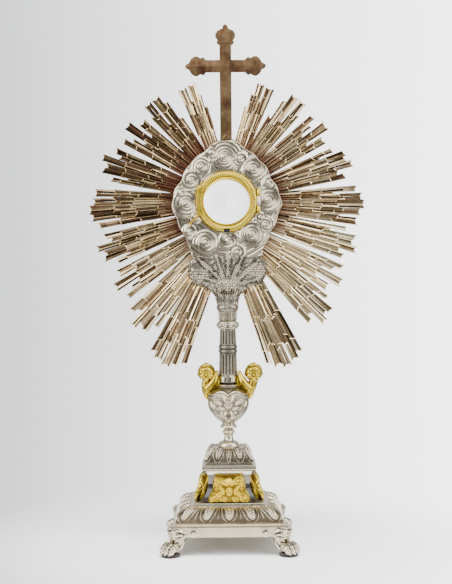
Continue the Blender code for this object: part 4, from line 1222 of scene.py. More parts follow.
# Leaves in the right half of the medallion: foot, size, direction
URN_LEAVES = (((5.0, -4.0), 10.0, 0.35), ((3.5, 8.0), 9.0, 1.15), ((15.0, -2.0), 7.5, -0.7),
              ((1.5, -6.0), 9.0, -0.9), ((9.5, 2.0), 9.0, 0.9), ((13.0, 9.0), 9.0, 0.1),
              ((8.0, -8.5), 8.0, -0.2), ((3.0, 15.0), 8.0, 0.2), ((14.0, 4.0), 8.0, 0.5))


def knop_urn():
    """The urn: a heart medallion with a flower and leaves on two faces, scales down the flanks."""
    bottom, top = heights_mm("knop_urn")
    key = [(12.5, top), (16.6, 243.8), (17.7, 243.0), (17.8, 241.8), (17.2, 240.8), (18.2, 239.8),
           (21.0, 238.2), (24.8, 235.4), (28.6, 231.5), (30.6, 226.9), (31.2, 219.0), (30.7, 211.4),
           (27.8, 203.7), (22.4, 196.2), (17.6, 191.0), (13.0, 187.3), (9.6, bottom)]

    def height(turn, radius, level, share):
        """The medallion's rim, flower and leaves, and the scales outside it."""
        angle = nearest_face(face_angle(turn))
        across = angle * 29.0
        up = level - 211.5
        gap = heart_distance(across, up)
        rim = 1.9 * bump(gap, 1.0) + 1.4 * bump(gap + 2.9, 0.8)
        inside = ramp(-3.6, -4.8, gap)
        far = np.hypot(across, up - 3.0)
        petals = ramp(6.4, 4.6, far) * (0.5 + 0.5 * np.cos(6 * np.arctan2(up - 3.0, across)))
        field = 1.6 * petals + 1.1 * bump(far, 1.6)
        for hand in (-1, 1):
            for centre, size, lean in URN_LEAVES:
                field = np.maximum(field, 1.7 * acanthus(hand * across, up, centre, size, lean))
        scale_row = np.mod(up / 4.6 + 0.5 * np.abs(np.cos(angle * 16.0)), 1.0)
        scales = (0.9 - 0.75 * scale_row) * ramp(2.0, 4.0, gap) * ramp(-26, -20, up) * ramp(22, 17, up)
        rise = rim + inside * field + scales
        tone = np.where(gap < -4.2, 0.16 + 0.40 * field, 0.42 + 0.36 * rim - 0.30 * scale_row * (gap > 2.0))
        tone = tone - 0.45 * bump(level - 238.4, 0.9) - 0.60 * bump(gap + 1.7, 0.8)
        tone = tone - 0.35 * bump(gap - 1.8, 0.9)
        fade = ramp(0, 4, share * 229) * ramp(0, 4, (1 - share) * 229)
        return rise * fade, np.clip(tone, 0.0, 1.0)

    hollow = [(BORE, bottom), (BORE, 187.0), (12.0, 189.6), (20.3, 198.0), (28.6, 211.0), (28.6, 226.5),
              (22.0, 234.0), (12.0, 239.6), (BORE, 241.5), (BORE, top)]
    stem_piece("urn_chased", "knop_urn", resample(key, 230), 360, height, inner=hollow)


def stem_column():
    """Fluted shaft in two lengths with a double band, on a rounded drum."""
    bottom, top = heights_mm("stem_column")
    key = [(12.0, top), (12.4, 322.0), (13.1, 304.4), (13.3, 303.6), (14.3, 302.9), (14.6, 301.0),
           (14.3, 299.1), (13.2, 298.2), (13.2, 297.6), (14.3, 296.8), (14.6, 294.8), (14.3, 292.8),
           (13.2, 291.9), (13.3, 291.0), (13.7, 274.0), (13.9, 262.0), (14.5, 257.0), (14.7, 252.5),
           (14.6, 248.4), (14.2, 246.4), (13.4, 245.2), (12.6, bottom)]

    def height(turn, radius, level, share):
        """Flutes on both lengths, lobes on the drum with painted highlights, and dark lines beside the
        bands.
        """
        angle = face_angle(turn)
        reed = np.abs(np.cos(angle * 8.0))
        upper = ramp(304.6, 306.5, level) * ramp(327.5, 325.5, level)
        lower = ramp(257.5, 261.0, level) * ramp(290.6, 288.6, level)
        drum = ramp(258.5, 255.0, level) * ramp(246.2, 248.2, level)
        flute = -1.5 * (1 - reed) ** 1.2 * (upper + lower)
        lobe = np.abs(np.sin(angle * 3.0))
        # Painted highlights on the drum's lobes, darker between them
        tone = 0.28 - 0.28 * (1 - reed) ** 1.1 * (upper + lower) - drum * (0.18 - 0.95 * lobe)
        grooves = sum(bump(level - line, 0.7) for line in (303.8, 298.0, 291.6, 245.8))
        return flute + 1.6 * lobe * drum, np.clip(tone - 0.5 * grooves, 0.0, 1.0)

    stem_piece("column_fluted", "stem_column", polyline(key, 300), 288, height, SHADED_STEM_SILVER)


def stem_ring():
    """The beaded ring: oval beads between two plain edges."""
    bottom, top = heights_mm("stem_ring")
    waist = 335.1
    key = [(14.0, top), (15.4, 340.1), (15.8, 339.2), (15.9, 338.2), (16.9, waist), (15.9, 332.0),
           (15.8, 331.0), (15.2, 330.0), (14.0, bottom)]

    def height(turn, radius, level, share):
        """Ten oval beads round the waist, dark between them."""
        band = bump(level - waist, 2.6)
        bead = np.sqrt(np.clip(1 - (np.cos(face_angle(turn) * 5.0) / 0.88) ** 2, 0, 1)) * band
        return 1.5 * bead - 0.6 * band, 0.32 + 0.6 * bead + 0.4 * ramp(2.6, 3.8, np.abs(level - waist))

    stem_piece("ring_beaded", "stem_ring", resample(key, 90), 200, height, SHADED_STEM_SILVER)


def capital():
    """Leafy neck, a ring and the bundle of stalks that flares into the spray."""
    bottom, top = heights_mm("capital")
    key = [(18.5, top), (16.9, 374.5), (15.9, 371.0), (15.6, 368.0), (15.9, 366.0), (16.7, 364.6),
           (16.9, 362.0), (16.4, 359.4), (15.2, 357.6), (13.6, 355.0), (13.2, 349.0), (13.3, 344.5),
           (13.0, 342.0), (12.4, bottom)]

    def height(turn, radius, level, share):
        """Twelve leaves on the neck, pearls on the ring and stalks above it."""
        angle = face_angle(turn)
        stalk = np.abs(np.cos(angle * 8.0 + 0.25 * np.sin(level * 0.5)))
        stalks = ramp(365.6, 368.0, level)
        leaf_centre = np.mod(angle * 6.0 / math.pi + 0.5, 1.0) - 0.5
        width = 0.46 * np.sqrt(np.clip((level - 341.5) / 14.0, 0.0, 1.0))
        leaf = ramp(0.0, 0.10, width - np.abs(leaf_centre)) * ramp(356.5, 354.5, level)
        vein = 0.6 + 0.4 * np.cos((np.abs(leaf_centre) * 22.0 + (level - 341) * 0.9) * 1.6)
        band = bump(level - 362.0, 2.4)
        pearl = 0.5 + 0.5 * np.cos(angle * 16.0)
        rise = 1.3 * stalk * stalks + 1.3 * leaf * vein + 0.5 * band * pearl
        tone = 0.25 + 0.5 * stalk * stalks + 0.50 * leaf * vein + 0.30 * band * pearl
        return rise, np.clip(tone, 0.0, 1.0)

    hollow = [(BORE, bottom), (BORE, 366.0), (12.5, 366.0), (16.5, top)]
    stem_piece("capital_chased", "capital", polyline(key, 220), 288, height, SHADED_STEM_SILVER, hollow)


# ---- cherubs --------------------------------------------------------------------------------------

HEAD_SCALE = 1.13                 # the heads against the 12 mm ball that their parts are set out on
# Rows of curls: height on the head, number
CURL_ROWS = ((11.4, 6), (8.2, 10), (4.2, 13), (0.0, 13), (-4.0, 11))
FEATHER = np.array([1.5, 1.8, 1.8, 1.8, 1.7, 1.5, 1.2, 0.8])


def cherub(name, side):
    """A generic winged child's head: round cheeks, curls, two feathered wings and a leafy tail."""
    low, high = box_mm(name)
    reach = abs(low[0] if side < 0 else high[0]) - 12.5
    centre = np.array([side * reach, 0.0, 261.0])
    shape = Shape()

    def at(x, y, z):
        """A point by its offset from the middle of the head."""
        return centre + HEAD_SCALE * np.array([x, y, z])

    def lump(x, y, z, radii, detail=2):
        """A ball of the head."""
        shape.ball(at(x, y, z), HEAD_SCALE * np.array(radii), detail=detail)

    lump(0, 0.5, 1.0, (12.3, 12.0, 12.4), 3)
    for hand in (-1, 1):
        lump(hand * 4.8, -7.4, -3.6, (4.8, 4.3, 4.6))
        lump(hand * 4.0, -11.0, 2.0, (2.8, 1.3, 0.9))
        lump(hand * 4.0, -10.4, -0.1, (1.6, 1.3, 1.1))
        lump(hand * 11.6, 0.5, -1.5, (1.3, 2.3, 2.8))
    lump(0, -9.0, 4.8, (6.8, 3.2, 4.6))
    lump(0, -12.1, -1.6, (1.4, 1.7, 2.1))
    lump(0, -10.8, -5.6, (2.4, 1.3, 0.9))
    lump(0, -9.2, -8.4, (3.6, 2.9, 2.6))
    dice = np.random.default_rng(11 if side > 0 else 12)
    for row, (level, count) in enumerate(CURL_ROWS):
        wide = math.sqrt(12.2 ** 2 - level ** 2)
        for step in range(count):
            turn = 2 * math.pi * (step + 0.5 * (row % 2)) / count
            x, y = wide * math.sin(turn), -wide * math.cos(turn)
            if y < -4.0 and level < 6.0 + 2.4 * abs(math.sin(turn)):
                continue
            size = dice.uniform(2.0, 3.1)
            lump(x * 0.80, y * 0.80 + 0.5, level * 0.84 + 1.0, (size, size, size * 0.8))
    for step in range(3):
        tuft = [at(-3 + 3 * step, -7.5, 9.2), at(-2 + 2 * step, -7.5, 11.6), at(-1 + step, -5.0, 12.8),
                at(0, -2.0, 12.0)]
        shape.tube(resample(tuft, 10), np.linspace(2.6, 2.0, 10), 8)
    tail = [at(0, -2, -6), at(-side * 0.3, -2, -11), at(-side * (reach - 35.5) * 0.5, -1.5, -17),
            (side * 34.6, -1, 233), (side * 34.0, -1, 226), (side * 33.4, -1, 220.5)]
    shape.tube(tail, np.array([6.4, 7.0, 7.0, 5.8, 3.9, 1.4]), 16)
    for facing in (-1, 1):
        top = np.array([side * 16.4, facing * 6.0, 264.0])
        foot = np.array([side * 33.0, facing * 5.0, 236.5])
        bow = (top + foot) / 2 + np.array([-side * 1.8, facing * 1.5, -2.6])
        shape.tube(resample([foot, bow, top], 18), np.array([6.4] * 9 + list(np.linspace(6.2, 2.4, 9))), 14)
        web = [(side * 16.8, facing * 5.0, 255), (side * 15.4, facing * 5.0, 246),
               (side * 23.5, facing * 5.0, 239.5), (side * 29.0, facing * 5.0, 235),
               (side * 31.0, facing * 5.0, 230)]
        shape.tube(resample(web, 12), 3.7, 12)
        for step in range(7):
            share = step / 6
            start = foot + (top - foot) * share + [side * 0.6, facing * 3.4 * (1 - 0.5 * share), -0.6]
            drop = np.array([-side * (4.4 - 2.6 * share), facing * 0.2, -3.0 - 1.4 * share])
            bend = start + drop * 0.5 + [0.0, facing * 0.9, 0.2]
            shape.tube(resample([start, bend, start + drop], 8), FEATHER, 8)
        for step in range(4):
            level = 244 - step * 5.0
            width = 5.4 - 0.8 * step
            middle = np.array([side * (35.0 + (reach - 35.0) * max(0.0, (level - 236) / 14)), -1.0, level])
            for hand in (-1, 1):
                leaf = [middle + [0, facing * width * 0.6, 2.5],
                        middle + [hand * width * 0.7, facing * width * 0.8, 0.0],
                        middle + [hand * width * 0.75, facing * width * 0.5, -3.4]]
                shape.tube(resample(leaf, 8), np.linspace(1.9, 1.0, 8), 8)
    data = fused(name + "_casting", shape, 0.42, 4, 0.30)
    piece(name + "_casting", data, GILT, name)


# ---- spray ----------------------------------------------------------------------------------------

def ear_of_wheat(shape, foot, angle, length, facing, base):
    """Grains in three rows with beards, from its foot along an angle in the plane of the plate."""
    along = np.array([math.cos(angle), 0.0, math.sin(angle)])
    across = np.array([-math.sin(angle), 0.0, math.cos(angle)])
    count = int(length / 3.7)
    for step in range(count):
        share = step / count
        width = 2.0 * math.sin(math.pi * (0.18 + 0.74 * share)) + 0.5
        for row in (-1, 0, 1):
            lift = base + (1.8 if row == 0 else 0.9)
            rank = step * 3.7 + (1.8 if row == 0 else 0.0)
            place = np.array(foot) + along * rank + across * row * width
            turn = Matrix.Rotation(-(angle - row * 0.6), 4, "Y")
            shape.ball(place + [0, facing * lift, 0], (2.9, 1.5, 1.35), turn, 0.62 if row == 0 else 1.0)
    tip = np.array(foot) + along * length
    for row in (-1, 0, 1):
        beard = [tip - along * 2, tip + along * 2.5 + across * row * 1.0,
                 tip + along * 5.5 + across * row * 2.4]
        shape.tube(np.array(beard) + [0, facing * (base + 0.8), 0], np.array([0.55, 0.45, 0.25]), 6, 0.85)


def grapes(shape, centre, wide, high, facing, base, dice):
    """A bunch of berries, packed closely."""
    pitch = 4.3
    for row in range(-4, 5):
        for column in range(-4, 5):
            x = (column + 0.5 * (row % 2)) * pitch
            z = row * pitch * 0.84
            inside = (x / wide) ** 2 + (z / high) ** 2
            if inside > 1:
                continue
            lift = base + 1.6 * (1 - inside) + dice.uniform(-0.2, 0.4)
            place = (centre[0] + x + dice.uniform(-0.4, 0.4), facing * lift,
                     centre[1] + z + dice.uniform(-0.4, 0.4))
            shape.ball(place, (2.25, 1.9, 2.25), None, 0.92)


def vine_leaf(x, z, centre, size, angle):
    """Height of a five-lobed leaf with veins, 0 outside it, and its inside share."""
    across, up = x - centre[0], z - centre[1]
    far = np.hypot(across, up) / size
    turn = np.arctan2(up, across) - angle
    edge = 0.70 + 0.26 * np.cos(5 * turn) + 0.06 * np.cos(25 * turn)
    inside = ramp(0.0, 0.12, edge - far)
    vein = bump(np.sin(2.5 * turn) * far * size, 0.45)
    ribs = 0.5 + 0.5 * np.cos(far * size * 2.6 + 5 * np.abs(np.sin(2.5 * turn)))
    return inside * (1.2 + 0.9 * np.sin(math.pi * np.clip(far / edge, 0, 1)) + 0.5 * vein
                     + 0.35 * ribs), inside


# Ears of wheat: foot, direction in degrees, length
EARS = ((-7.0, 408, 106, 38), (1.0, 412, 90, 38), (10.5, 412, 64, 36), (17.0, 406, 42, 40),
        (-12.0, 406, 136, 42), (-17.0, 402, 163, 32), (20.0, 398, 16, 26))
# Bunches of grapes: centre, half width, half height
BUNCHES = (((44.0, 418.0), 13.5, 13.0), ((-39.5, 411.0), 15.5, 9.5), ((1.0, 392.0), 6.5, 10.5))
# Right half of the cast plate, from the middle of its top down to the capital
SPRAY_OUTLINE = ((0, 441.2), (12, 441.0), (24, 440.6), (36, 440.8), (46, 440.6), (54, 438.8), (59.5, 431),
                 (60, 421), (58.5, 409), (55, 402.5), (49, 398), (41, 395.5), (33, 392.5), (26, 387),
                 (21, 381.5))
SPRAY_FAR, SPRAY_NEAR = 10.0, 3.0
SMALL_LEAVES = 34


def stalk(shape, step, facing, base):
    """One of the stalks that rise from the capital's rim and spread over the plate."""
    path = [(step * spread, facing * math.sqrt(radius ** 2 - (step * spread) ** 2), level)
            for spread, radius, level in ((2.9, 15.9, 368.0), (3.0, 17.4, 375.0), (3.1, 18.6, 379.5))]
    path.append((step * 3.7, facing * (SPRAY_FAR + 1.2), 386.0))
    path.append((step * 4.3, facing * (base + 0.4), 393.0 + 4.0 * math.cos(step * 2.3)))
    shape.tube(resample(path, 16), 1.2, 8, 0.38 + 0.16 * math.cos(step * 1.7))


def spray(side_name, facing):
    """Wheat, grapes and vine leaves on a cast plate, with stalks that gather towards the capital."""
    node = "spray_" + side_name
    bottom = heights_mm(node)[0]
    half = resample([*SPRAY_OUTLINE, (18.2, bottom)], 190)
    bottom = polyline([half[-1], (0, bottom)], 30)[1:]
    outline = whole_outline(np.vstack([half, bottom]))
    swell = 1.0 + 0.010 * np.cos(np.arctan2(outline[:, 1] - 410, outline[:, 0]) * 30)
    outline = np.stack([outline[:, 0] * swell, outline[:, 1]], -1)
    middle = np.stack([outline[:, 0] * 0.02, 405.0 + (outline[:, 1] - 405.0) * 0.02], -1)
    steps = np.linspace(0, 1, 90)
    flat = middle[:, None] + (outline - middle)[:, None] * steps[None, :, None]
    x, z = flat[..., 0], flat[..., 1]
    ribs = np.abs(np.cos(np.arctan2(x, z - 352.0) * 26.0))
    stalks = ramp(412, 398, z) * ramp(26.0, 20.0, np.abs(x) - 0.30 * (z - 378))
    wave = np.cos(1.05 * x + 1.8 * np.sin(z * 0.42)) * np.cos(0.95 * z + 1.6 * np.sin(x * 0.37))
    waves = 0.5 + 0.5 * wave
    height = 1.5 + 0.6 * waves + stalks * (1.5 * ribs - 0.4)
    tone = 0.10 + 0.20 * waves + 0.45 * stalks * ribs
    dice = np.random.default_rng(5)
    for _ in range(SMALL_LEAVES):
        place = (dice.uniform(-56, 56), dice.uniform(392, 438))
        own, inside = vine_leaf(x, z, place, dice.uniform(7.0, 11.0), dice.uniform(-3, 3))
        lift, shine = dice.uniform(1.4, 2.0), dice.uniform(0.35, 1.0)
        height = np.where(inside > 0.02, np.maximum(height, lift + own), height)
        tone = np.where(inside > 0.02, inside * shine * (0.25 + 0.32 * own), tone)
    # Painted shade on the plate round each ear of wheat
    for x_foot, z_foot, degrees, length in EARS:
        lean = math.radians(degrees)
        along = (x - x_foot) * math.cos(lean) + (z - z_foot) * math.sin(lean)
        aside = np.abs(-(x - x_foot) * math.sin(lean) + (z - z_foot) * math.cos(lean))
        tone = tone * (1 - 0.80 * ramp(6.4, 4.4, aside) * ramp(-2, 2, along)
                       * ramp(length + 3, length - 1, along))
    edge = np.maximum(ramp(0.0, 0.04, 1 - steps)[None], ramp(384.0, 380.0, z))
    edge = np.maximum(edge, ramp(433.0, 438.0, z) * ramp(54.0, 50.0, np.abs(x)))
    front = np.stack([x, facing * (SPRAY_FAR - 4.2 + height * edge), z], -1)
    shape = Shape()
    relief_plate(shape, front, facing * (SPRAY_NEAR + 1.0), facing * SPRAY_NEAR,
                 np.clip(tone, 0, 1) * (0.4 + 0.6 * edge))
    base = SPRAY_FAR - 3.0
    for centre, wide, high in BUNCHES:
        grapes(shape, centre, wide, high, facing, base, dice)
    for x_foot, z_foot, degrees, length in EARS:
        ear_of_wheat(shape, (x_foot, 0.0, z_foot), math.radians(degrees), length, facing, base + 0.4)
    for step in range(-5, 6):
        stalk(shape, step, facing, base)
    piece("spray_casting_" + side_name, shape, SHADED_STEM_SILVER, node)


# ---- cross ----------------------------------------------------------------------------------------

def cross_outline():
    """The budded cross, from the top down on the right and back up on the left."""
    low, high = box_mm("cross")
    top = high[2]
    arm = top - 65.0
    bud = [(0.6, top - 0.3), (3.2, top - 2.6), (4.9, top - 7.2), (8.5, top - 8.6), (12.6, top - 10.6),
           (15.6, top - 15.5), (15.2, top - 20.5), (12.6, top - 24.0), (11.8, top - 25.6),
           (13.8, top - 27.8), (12.4, top - 30.5), (9.0, top - 33.0)]
    side = [(30.0, arm + 9.5), (33.0, arm + 12.5), (35.0, arm + 14.6), (37.4, arm + 12.2),
            (40.0, arm + 12.8), (44.0, arm + 15.4), (49.0, arm + 14.8), (53.5, arm + 11.0),
            (56.5, arm + 5.2), (60.4, arm + 3.4), (62.7, arm + 0.5)]
    lower = [(x, 2 * arm - z) for x, z in reversed(side)]
    half = bud + [(9.0, arm + 9.5)] + side + lower + [(9.0, arm - 9.5), (9.0, low[2])]
    return [(-x, z) for x, z in half] + [(x, z) for x, z in reversed(half)]


def cross():
    """Flat brass cross with softened edges and its screw hole."""
    low, high = box_mm("cross")
    screw_z = middle_mm("cross_screw")[2]
    data = flat_part("cross_plate", [cross_outline(), circle(2.38, 0, screw_z)], low[1], high[1], 0.35)
    piece("cross_plate", data, CROSS_BRASS, "cross", sharp=30)


def slotted_screw(node, head_back, head_high, radius, shank, shank_end, turn, material, body="stand"):
    """A domed screw with a slot, whose head points at the door side. Turn is the slot's direction."""
    x, _, z = middle_mm(node)
    rings = np.concatenate([np.linspace(0.02, 0.98, 34) * radius, [radius]])
    turns = np.linspace(0, 2 * math.pi, 96, endpoint=False)[:, None]
    x_head, z_head = rings[None] * np.cos(turns), rings[None] * np.sin(turns)
    dome = head_high * (0.72 + 0.28 * np.sqrt(np.clip(1 - (rings[None] / radius) ** 2, 0, 1)))
    cut = np.abs(x_head * math.sin(turn) - z_head * math.cos(turn))
    level = dome - ramp(0.17 * radius, 0.11 * radius, cut) * 0.55 * head_high
    profile = [(radius, 0.0), (shank, 0.0), (shank, -shank_end), (0.02, -shank_end)]
    wall_x = np.concatenate([x_head] + [r * np.cos(turns) for r, _ in profile], 1)
    wall_z = np.concatenate([z_head] + [r * np.sin(turns) for r, _ in profile], 1)
    wall_y = np.concatenate([level] + [np.full_like(turns, h) for _, h in profile], 1)
    points = np.stack([x + wall_x, -(head_back + wall_y), z + wall_z], -1)
    tone = 0.8 - 0.6 * ramp(0.19 * radius, 0.12 * radius,
                            np.abs(wall_x * math.sin(turn) - wall_z * math.cos(turn)))
    shape = Shape()
    shape.grid(points, tone, wrap_u=True, wrap_v=True)
    piece(node + "_slotted", shape, material, node, body, sharp=40)


# ---- lunette --------------------------------------------------------------------------------------

HINGE_X = 48.9
HINGE_Y = -14.0
KNUCKLE_RADIUS = 2.3


def barrel(shape, low, high):
    """A rounded hinge knuckle, closed at its ends where the pin passes."""
    ends = [low + 0.05, low + 0.5, (low + high) / 2, high - 0.5, high - 0.05]
    path = [(HINGE_X, HINGE_Y, LUNETTE_Z + level) for level in ends]
    shape.tube(path, KNUCKLE_RADIUS * np.array([0.84, 0.99, 0.99, 0.99, 0.84]), 28, 0.8)


def stacked(shape, outline, levels, axis, relief=0.7):
    """A solid from one outline at several levels (place, scale) along an axis, scaled about its middle."""
    middle = outline.mean(0)
    rows = [np.insert(middle + (outline - middle) * scale, axis, level, 1) for level, scale in levels]
    shape.grid(np.stack(rows), relief, wrap_v=True)


def leaf_plate(shape, x_low, x_high, y_low, y_high, z_low, z_high):
    """A hinge leaf with rounded edges."""
    outline = soften([(x_low, y_low), (x_high, y_low), (x_high, y_high), (x_low, y_high)])
    stacked(shape, outline, ((z_low, 0.0), (z_low, 1.0), (z_high, 1.0), (z_high, 0.0)), 2, 0.75)


def door_ring():
    """The gilt door ring: a roped half-round band, a dark groove and a plain inner ring."""
    outer = np.vstack([
        [(34.8, DOOR_BACK + 2.4)],
        polyline([(34.8, 14.8), (35.2, 15.9), (36.0, 16.5), (36.8, 16.3), (37.4, 15.4)], 16),
        polyline([(37.5, 15.2), (37.9, 15.0), (38.3, 15.6)], 8),
        quarter((38.4, 15.6), (42.3, DOOR_FRONT), True, 26)[1:],
        quarter((42.3, DOOR_FRONT), (46.2, 14.4), False, 26)[1:],
        [(46.3, 13.4), (46.3, DOOR_BACK + 0.3), (46.0, DOOR_BACK)],
    ])

    def height(turn, radius, level, share):
        """Gadroons on the rounded band, a dark groove and a row of fine beads inside it."""
        band = ramp(38.5, 39.3, radius) * ramp(46.25, 45.2, radius)
        rope = np.abs(np.cos(turn * 44.0))
        gadroon = rope ** 0.7
        rise = -0.60 * (1 - gadroon) * band - 0.05 * band
        groove = bump(radius - 37.8, 0.45)
        bead = bump(radius - 39.0, 0.5) * (0.5 + 0.5 * np.cos(turn * 90))
        return rise + 0.25 * bead, np.clip(0.92 - 0.80 * (1 - gadroon) * band - 0.8 * groove, 0.0, 1.0)

    inner = [(36.2, DOOR_BACK), (36.2, 13.0), (37.5, 13.0), (37.5, 15.2)]
    shape = Shape()
    worked_wall(shape, outer, inner, 720, height, "Y", (0, 0, LUNETTE_Z))
    whole = bpy.data.objects.new("door_ring_cut", shape.mesh("door_ring_cut"))
    bpy.context.scene.collection.objects.link(whole)
    notch = ((-4.6, -20, LUNETTE_Z - 50), (4.6, -5, LUNETTE_Z - 41.8))
    ring = evaluated_mesh(whole, "door_ring_cut", [notch])
    piece("door_ring_roped", ring, GILT, "door_ring", "door", sharp=50)
    fittings = Shape()
    for start, end in ((8.05, 18.0), (-18.0, -8.05)):
        barrel(fittings, start, end)
        leaf_plate(fittings, 43.5, HINGE_X - 1.6, HINGE_Y - 1.6, HINGE_Y + 1.4,
                   LUNETTE_Z + start + 0.2, LUNETTE_Z + end - 0.2)
    latch_x, _, latch_z = middle_mm("latch_screw")
    boss = soften([(5.5, 17.0), (0.2, 17.0), (0.2, DOOR_BACK + 0.5), (5.5, DOOR_BACK + 0.5)], 0.5)
    fittings.turned(boss, 48, 0.75, "Y", (latch_x, 0, latch_z))
    piece("door_fittings", fittings, GILT, "door_ring", "door", sharp=40)


def latch():
    """Flat latch arm with a worn eye, a bowed bar and a thumb prong, and its slotted screw."""
    x_axis, _, z_axis = middle_mm("latch_screw")
    low, high = box_mm("latch_arm")
    middle = math.degrees(math.atan2(z_axis - LUNETTE_Z, x_axis))

    def on_ring(radius, past):
        """A point by distance from the lunette's centre and degrees past the eye."""
        angle = math.radians(middle + past)
        return radius * math.cos(angle), LUNETTE_Z + radius * math.sin(angle)

    def around_eye(point):
        """Degrees from where the arm's outer edge leaves the eye, counter-clockwise."""
        return (math.degrees(math.atan2(point[1] - z_axis, point[0] - x_axis)) + 55) % 360

    eye = sorted((point for point in circle(6.35, x_axis, z_axis, 72) if not 279 < around_eye(point) < 360),
                 key=around_eye)
    outer = [on_ring(46.5, past) for past in range(9, 50, 4)]
    prong = [(-46.0, 503.6), (-49.0, 501.2), (-54.0, 495.5), (-59.0, 490.4), (-58.6, 489.2), (-57.3, 489.1),
             (-50.5, 494.9), (-43.5, 500.9)]
    inner = [on_ring(39.3, past) for past in range(47, 6, -4)]
    outline = eye + outer + prong + inner
    data = flat_part("latch_arm_bar", [outline, circle(2.1, x_axis, z_axis, 32)], low[1], high[1], 0.45)
    piece("latch_arm_bar", data, GILT_PLAIN, "latch_arm", "latch", sharp=25)
    slotted_screw("latch_screw", 2.3 - high[1], 1.8, 4.6, 1.9, 5.2, 0.6, GILT_PLAIN, "door")


def case_and_bezel():
    """The lunette's case with its fixed knuckle, the roped front bezel, the pin and the block."""
    centre = (0, 0, LUNETTE_Z)
    end = CASE_HALF_DEPTH
    flange_back, lip_front = CLOUD_FAR + GAP, end - 1.5
    shape = Shape()
    shape.turned(soften([(45.0, end), (45.0, flange_back), (40.0, flange_back), (40.0, -end), (35.5, -end),
                         (35.5, -lip_front), (38.5, -lip_front), (38.5, end)], 0.4), 180, 0.7, "Y", centre)
    piece("case_turned", shape, GILT, "lunette_case", sharp=40)
    hinge = Shape()
    barrel(hinge, -7.45, 7.45)
    leaf_plate(hinge, 42.5, HINGE_X + 1.0, -11.95, -10.45, LUNETTE_Z - 7.4, LUNETTE_Z + 7.4)
    piece("case_hinge", hinge, SILVER_SMOOTH, "lunette_case", sharp=40)
    outer = np.vstack([polyline([(34.8, -15.0), (34.8, -15.8), (35.6, -16.0), (37.4, -16.0)], 12),
                       quarter((37.8, -16.0), (44.0, -14.0), False, 30), [(44.0, -13.2), (43.2, -12.4)]])

    def height(turn, radius, level, share):
        """Slanting rope on the rounded band."""
        band = ramp(38.0, 39.0, radius) * ramp(43.9, 43.0, radius)
        rope = np.abs(np.cos(turn * 36.0 + radius * 0.3))
        return -0.5 * (1 - rope) * band, np.clip(0.8 - 0.7 * (1 - rope) * band, 0, 1)

    bezel = Shape()
    worked_wall(bezel, outer, [(41.5, -DOOR_BACK), (37.5, -DOOR_BACK), (37.5, -14.9)], 540, height,
                "Y", centre)
    piece("bezel_roped", bezel, GILT, "front_bezel", sharp=50)
    pin = Shape()
    top = box_mm("hinge_pin")[1][2]
    shank = [(HINGE_X, HINGE_Y, LUNETTE_Z + level) for level in (-18.5, -18.1, 18.2)]
    pin.tube(shank, np.array([0.9, 1.2, 1.2]), 20)
    pin.ball((HINGE_X, HINGE_Y, top - 1.0), (1.9, 1.9, 1.0), None, 0.85, 3)
    piece("hinge_pin_headed", pin, GILT_PLAIN, "hinge_pin")
    low, high = box_mm("door_key_block")
    block = Shape()
    corners = soften([(low[0], low[2]), (high[0], low[2]), (high[0], high[2]), (low[0], high[2])], 0.6)
    stacked(block, corners, ((high[1], 0.0), (high[1], 0.94), (high[1] - 0.3, 1.0), (low[1] + 0.4, 1.0),
                             (low[1], 0.92), (low[1], 0.0)), 1)
    piece("key_block_bevelled", block, BLACK, "door_key_block", sharp=30)


def panes():
    """The three panes with ground edges, and the luna's milled ring."""
    for node, body in (("door_glass", "door"), ("front_glass", "stand"), ("luna_glass", "luna")):
        low, high = box_mm(node)
        radius = (high[0] - low[0]) / 2
        profile = soften([(radius, -low[1]), (0.05, -low[1]), (0.05, -high[1]), (radius, -high[1])],
                         0.25, 3)
        pane = Shape()
        pane.turned(profile, 160, axis="Y", centre=(0, 0, LUNETTE_Z))
        piece("pane_" + node, pane, GLASS, node, body, sharp=30)
    outer = polyline([(35.0, -2.0), (37.2, -2.0), (37.9, -1.4), (37.9, 1.4), (37.2, 2.0), (35.0, 2.0),
                      (34.8, 1.8), (34.8, 1.0)], 60)
    ring = Shape()

    def height(turn, radius, level, share):
        """Milling on the rim."""
        mill = 0.5 + 0.5 * np.cos(turn * 120)
        edge = ramp(37.3, 37.8, radius)
        return -0.18 * mill * edge, 0.75 - 0.3 * mill * edge

    inner = [(36.6, 1.0), (36.6, -1.0), (34.8, -1.0), (34.8, -1.8)]
    worked_wall(ring, outer, inner, 480, height, "Y", (0, 0, LUNETTE_Z))
    piece("luna_milled", ring, GILT, "luna_ring", "luna", sharp=50)


# ---- stage ----------------------------------------------------------------------------------------

CAMERA_ACROSS = -0.0022
CAMERA_HEIGHT = 0.386
CAMERA_DISTANCE = 1.622
CAMERA_LENS = 64.7
CAMERA_ROLL = 0.5
# Background seen by the camera, darker on the left: painted falloff of the studio light
BACKGROUND_LEFT = (1.40, 1.44, 1.47)
BACKGROUND_RIGHT = (4.30, 4.30, 4.25)
# Soft boxes: place, aimed at, width, height, power, and whether the metal mirrors it
SOFT_BOXES = (
    ((-1.5, -1.3, 1.3), (0, 0, 0.4), 1.0, 1.6, 14.0, True),
    ((1.7, -1.0, 1.1), (0, 0, 0.4), 0.8, 1.6, 8.0, True),
    ((0.1, -0.3, 2.3), (0, 0, 0.0), 1.1, 1.1, 150.0, False),
)
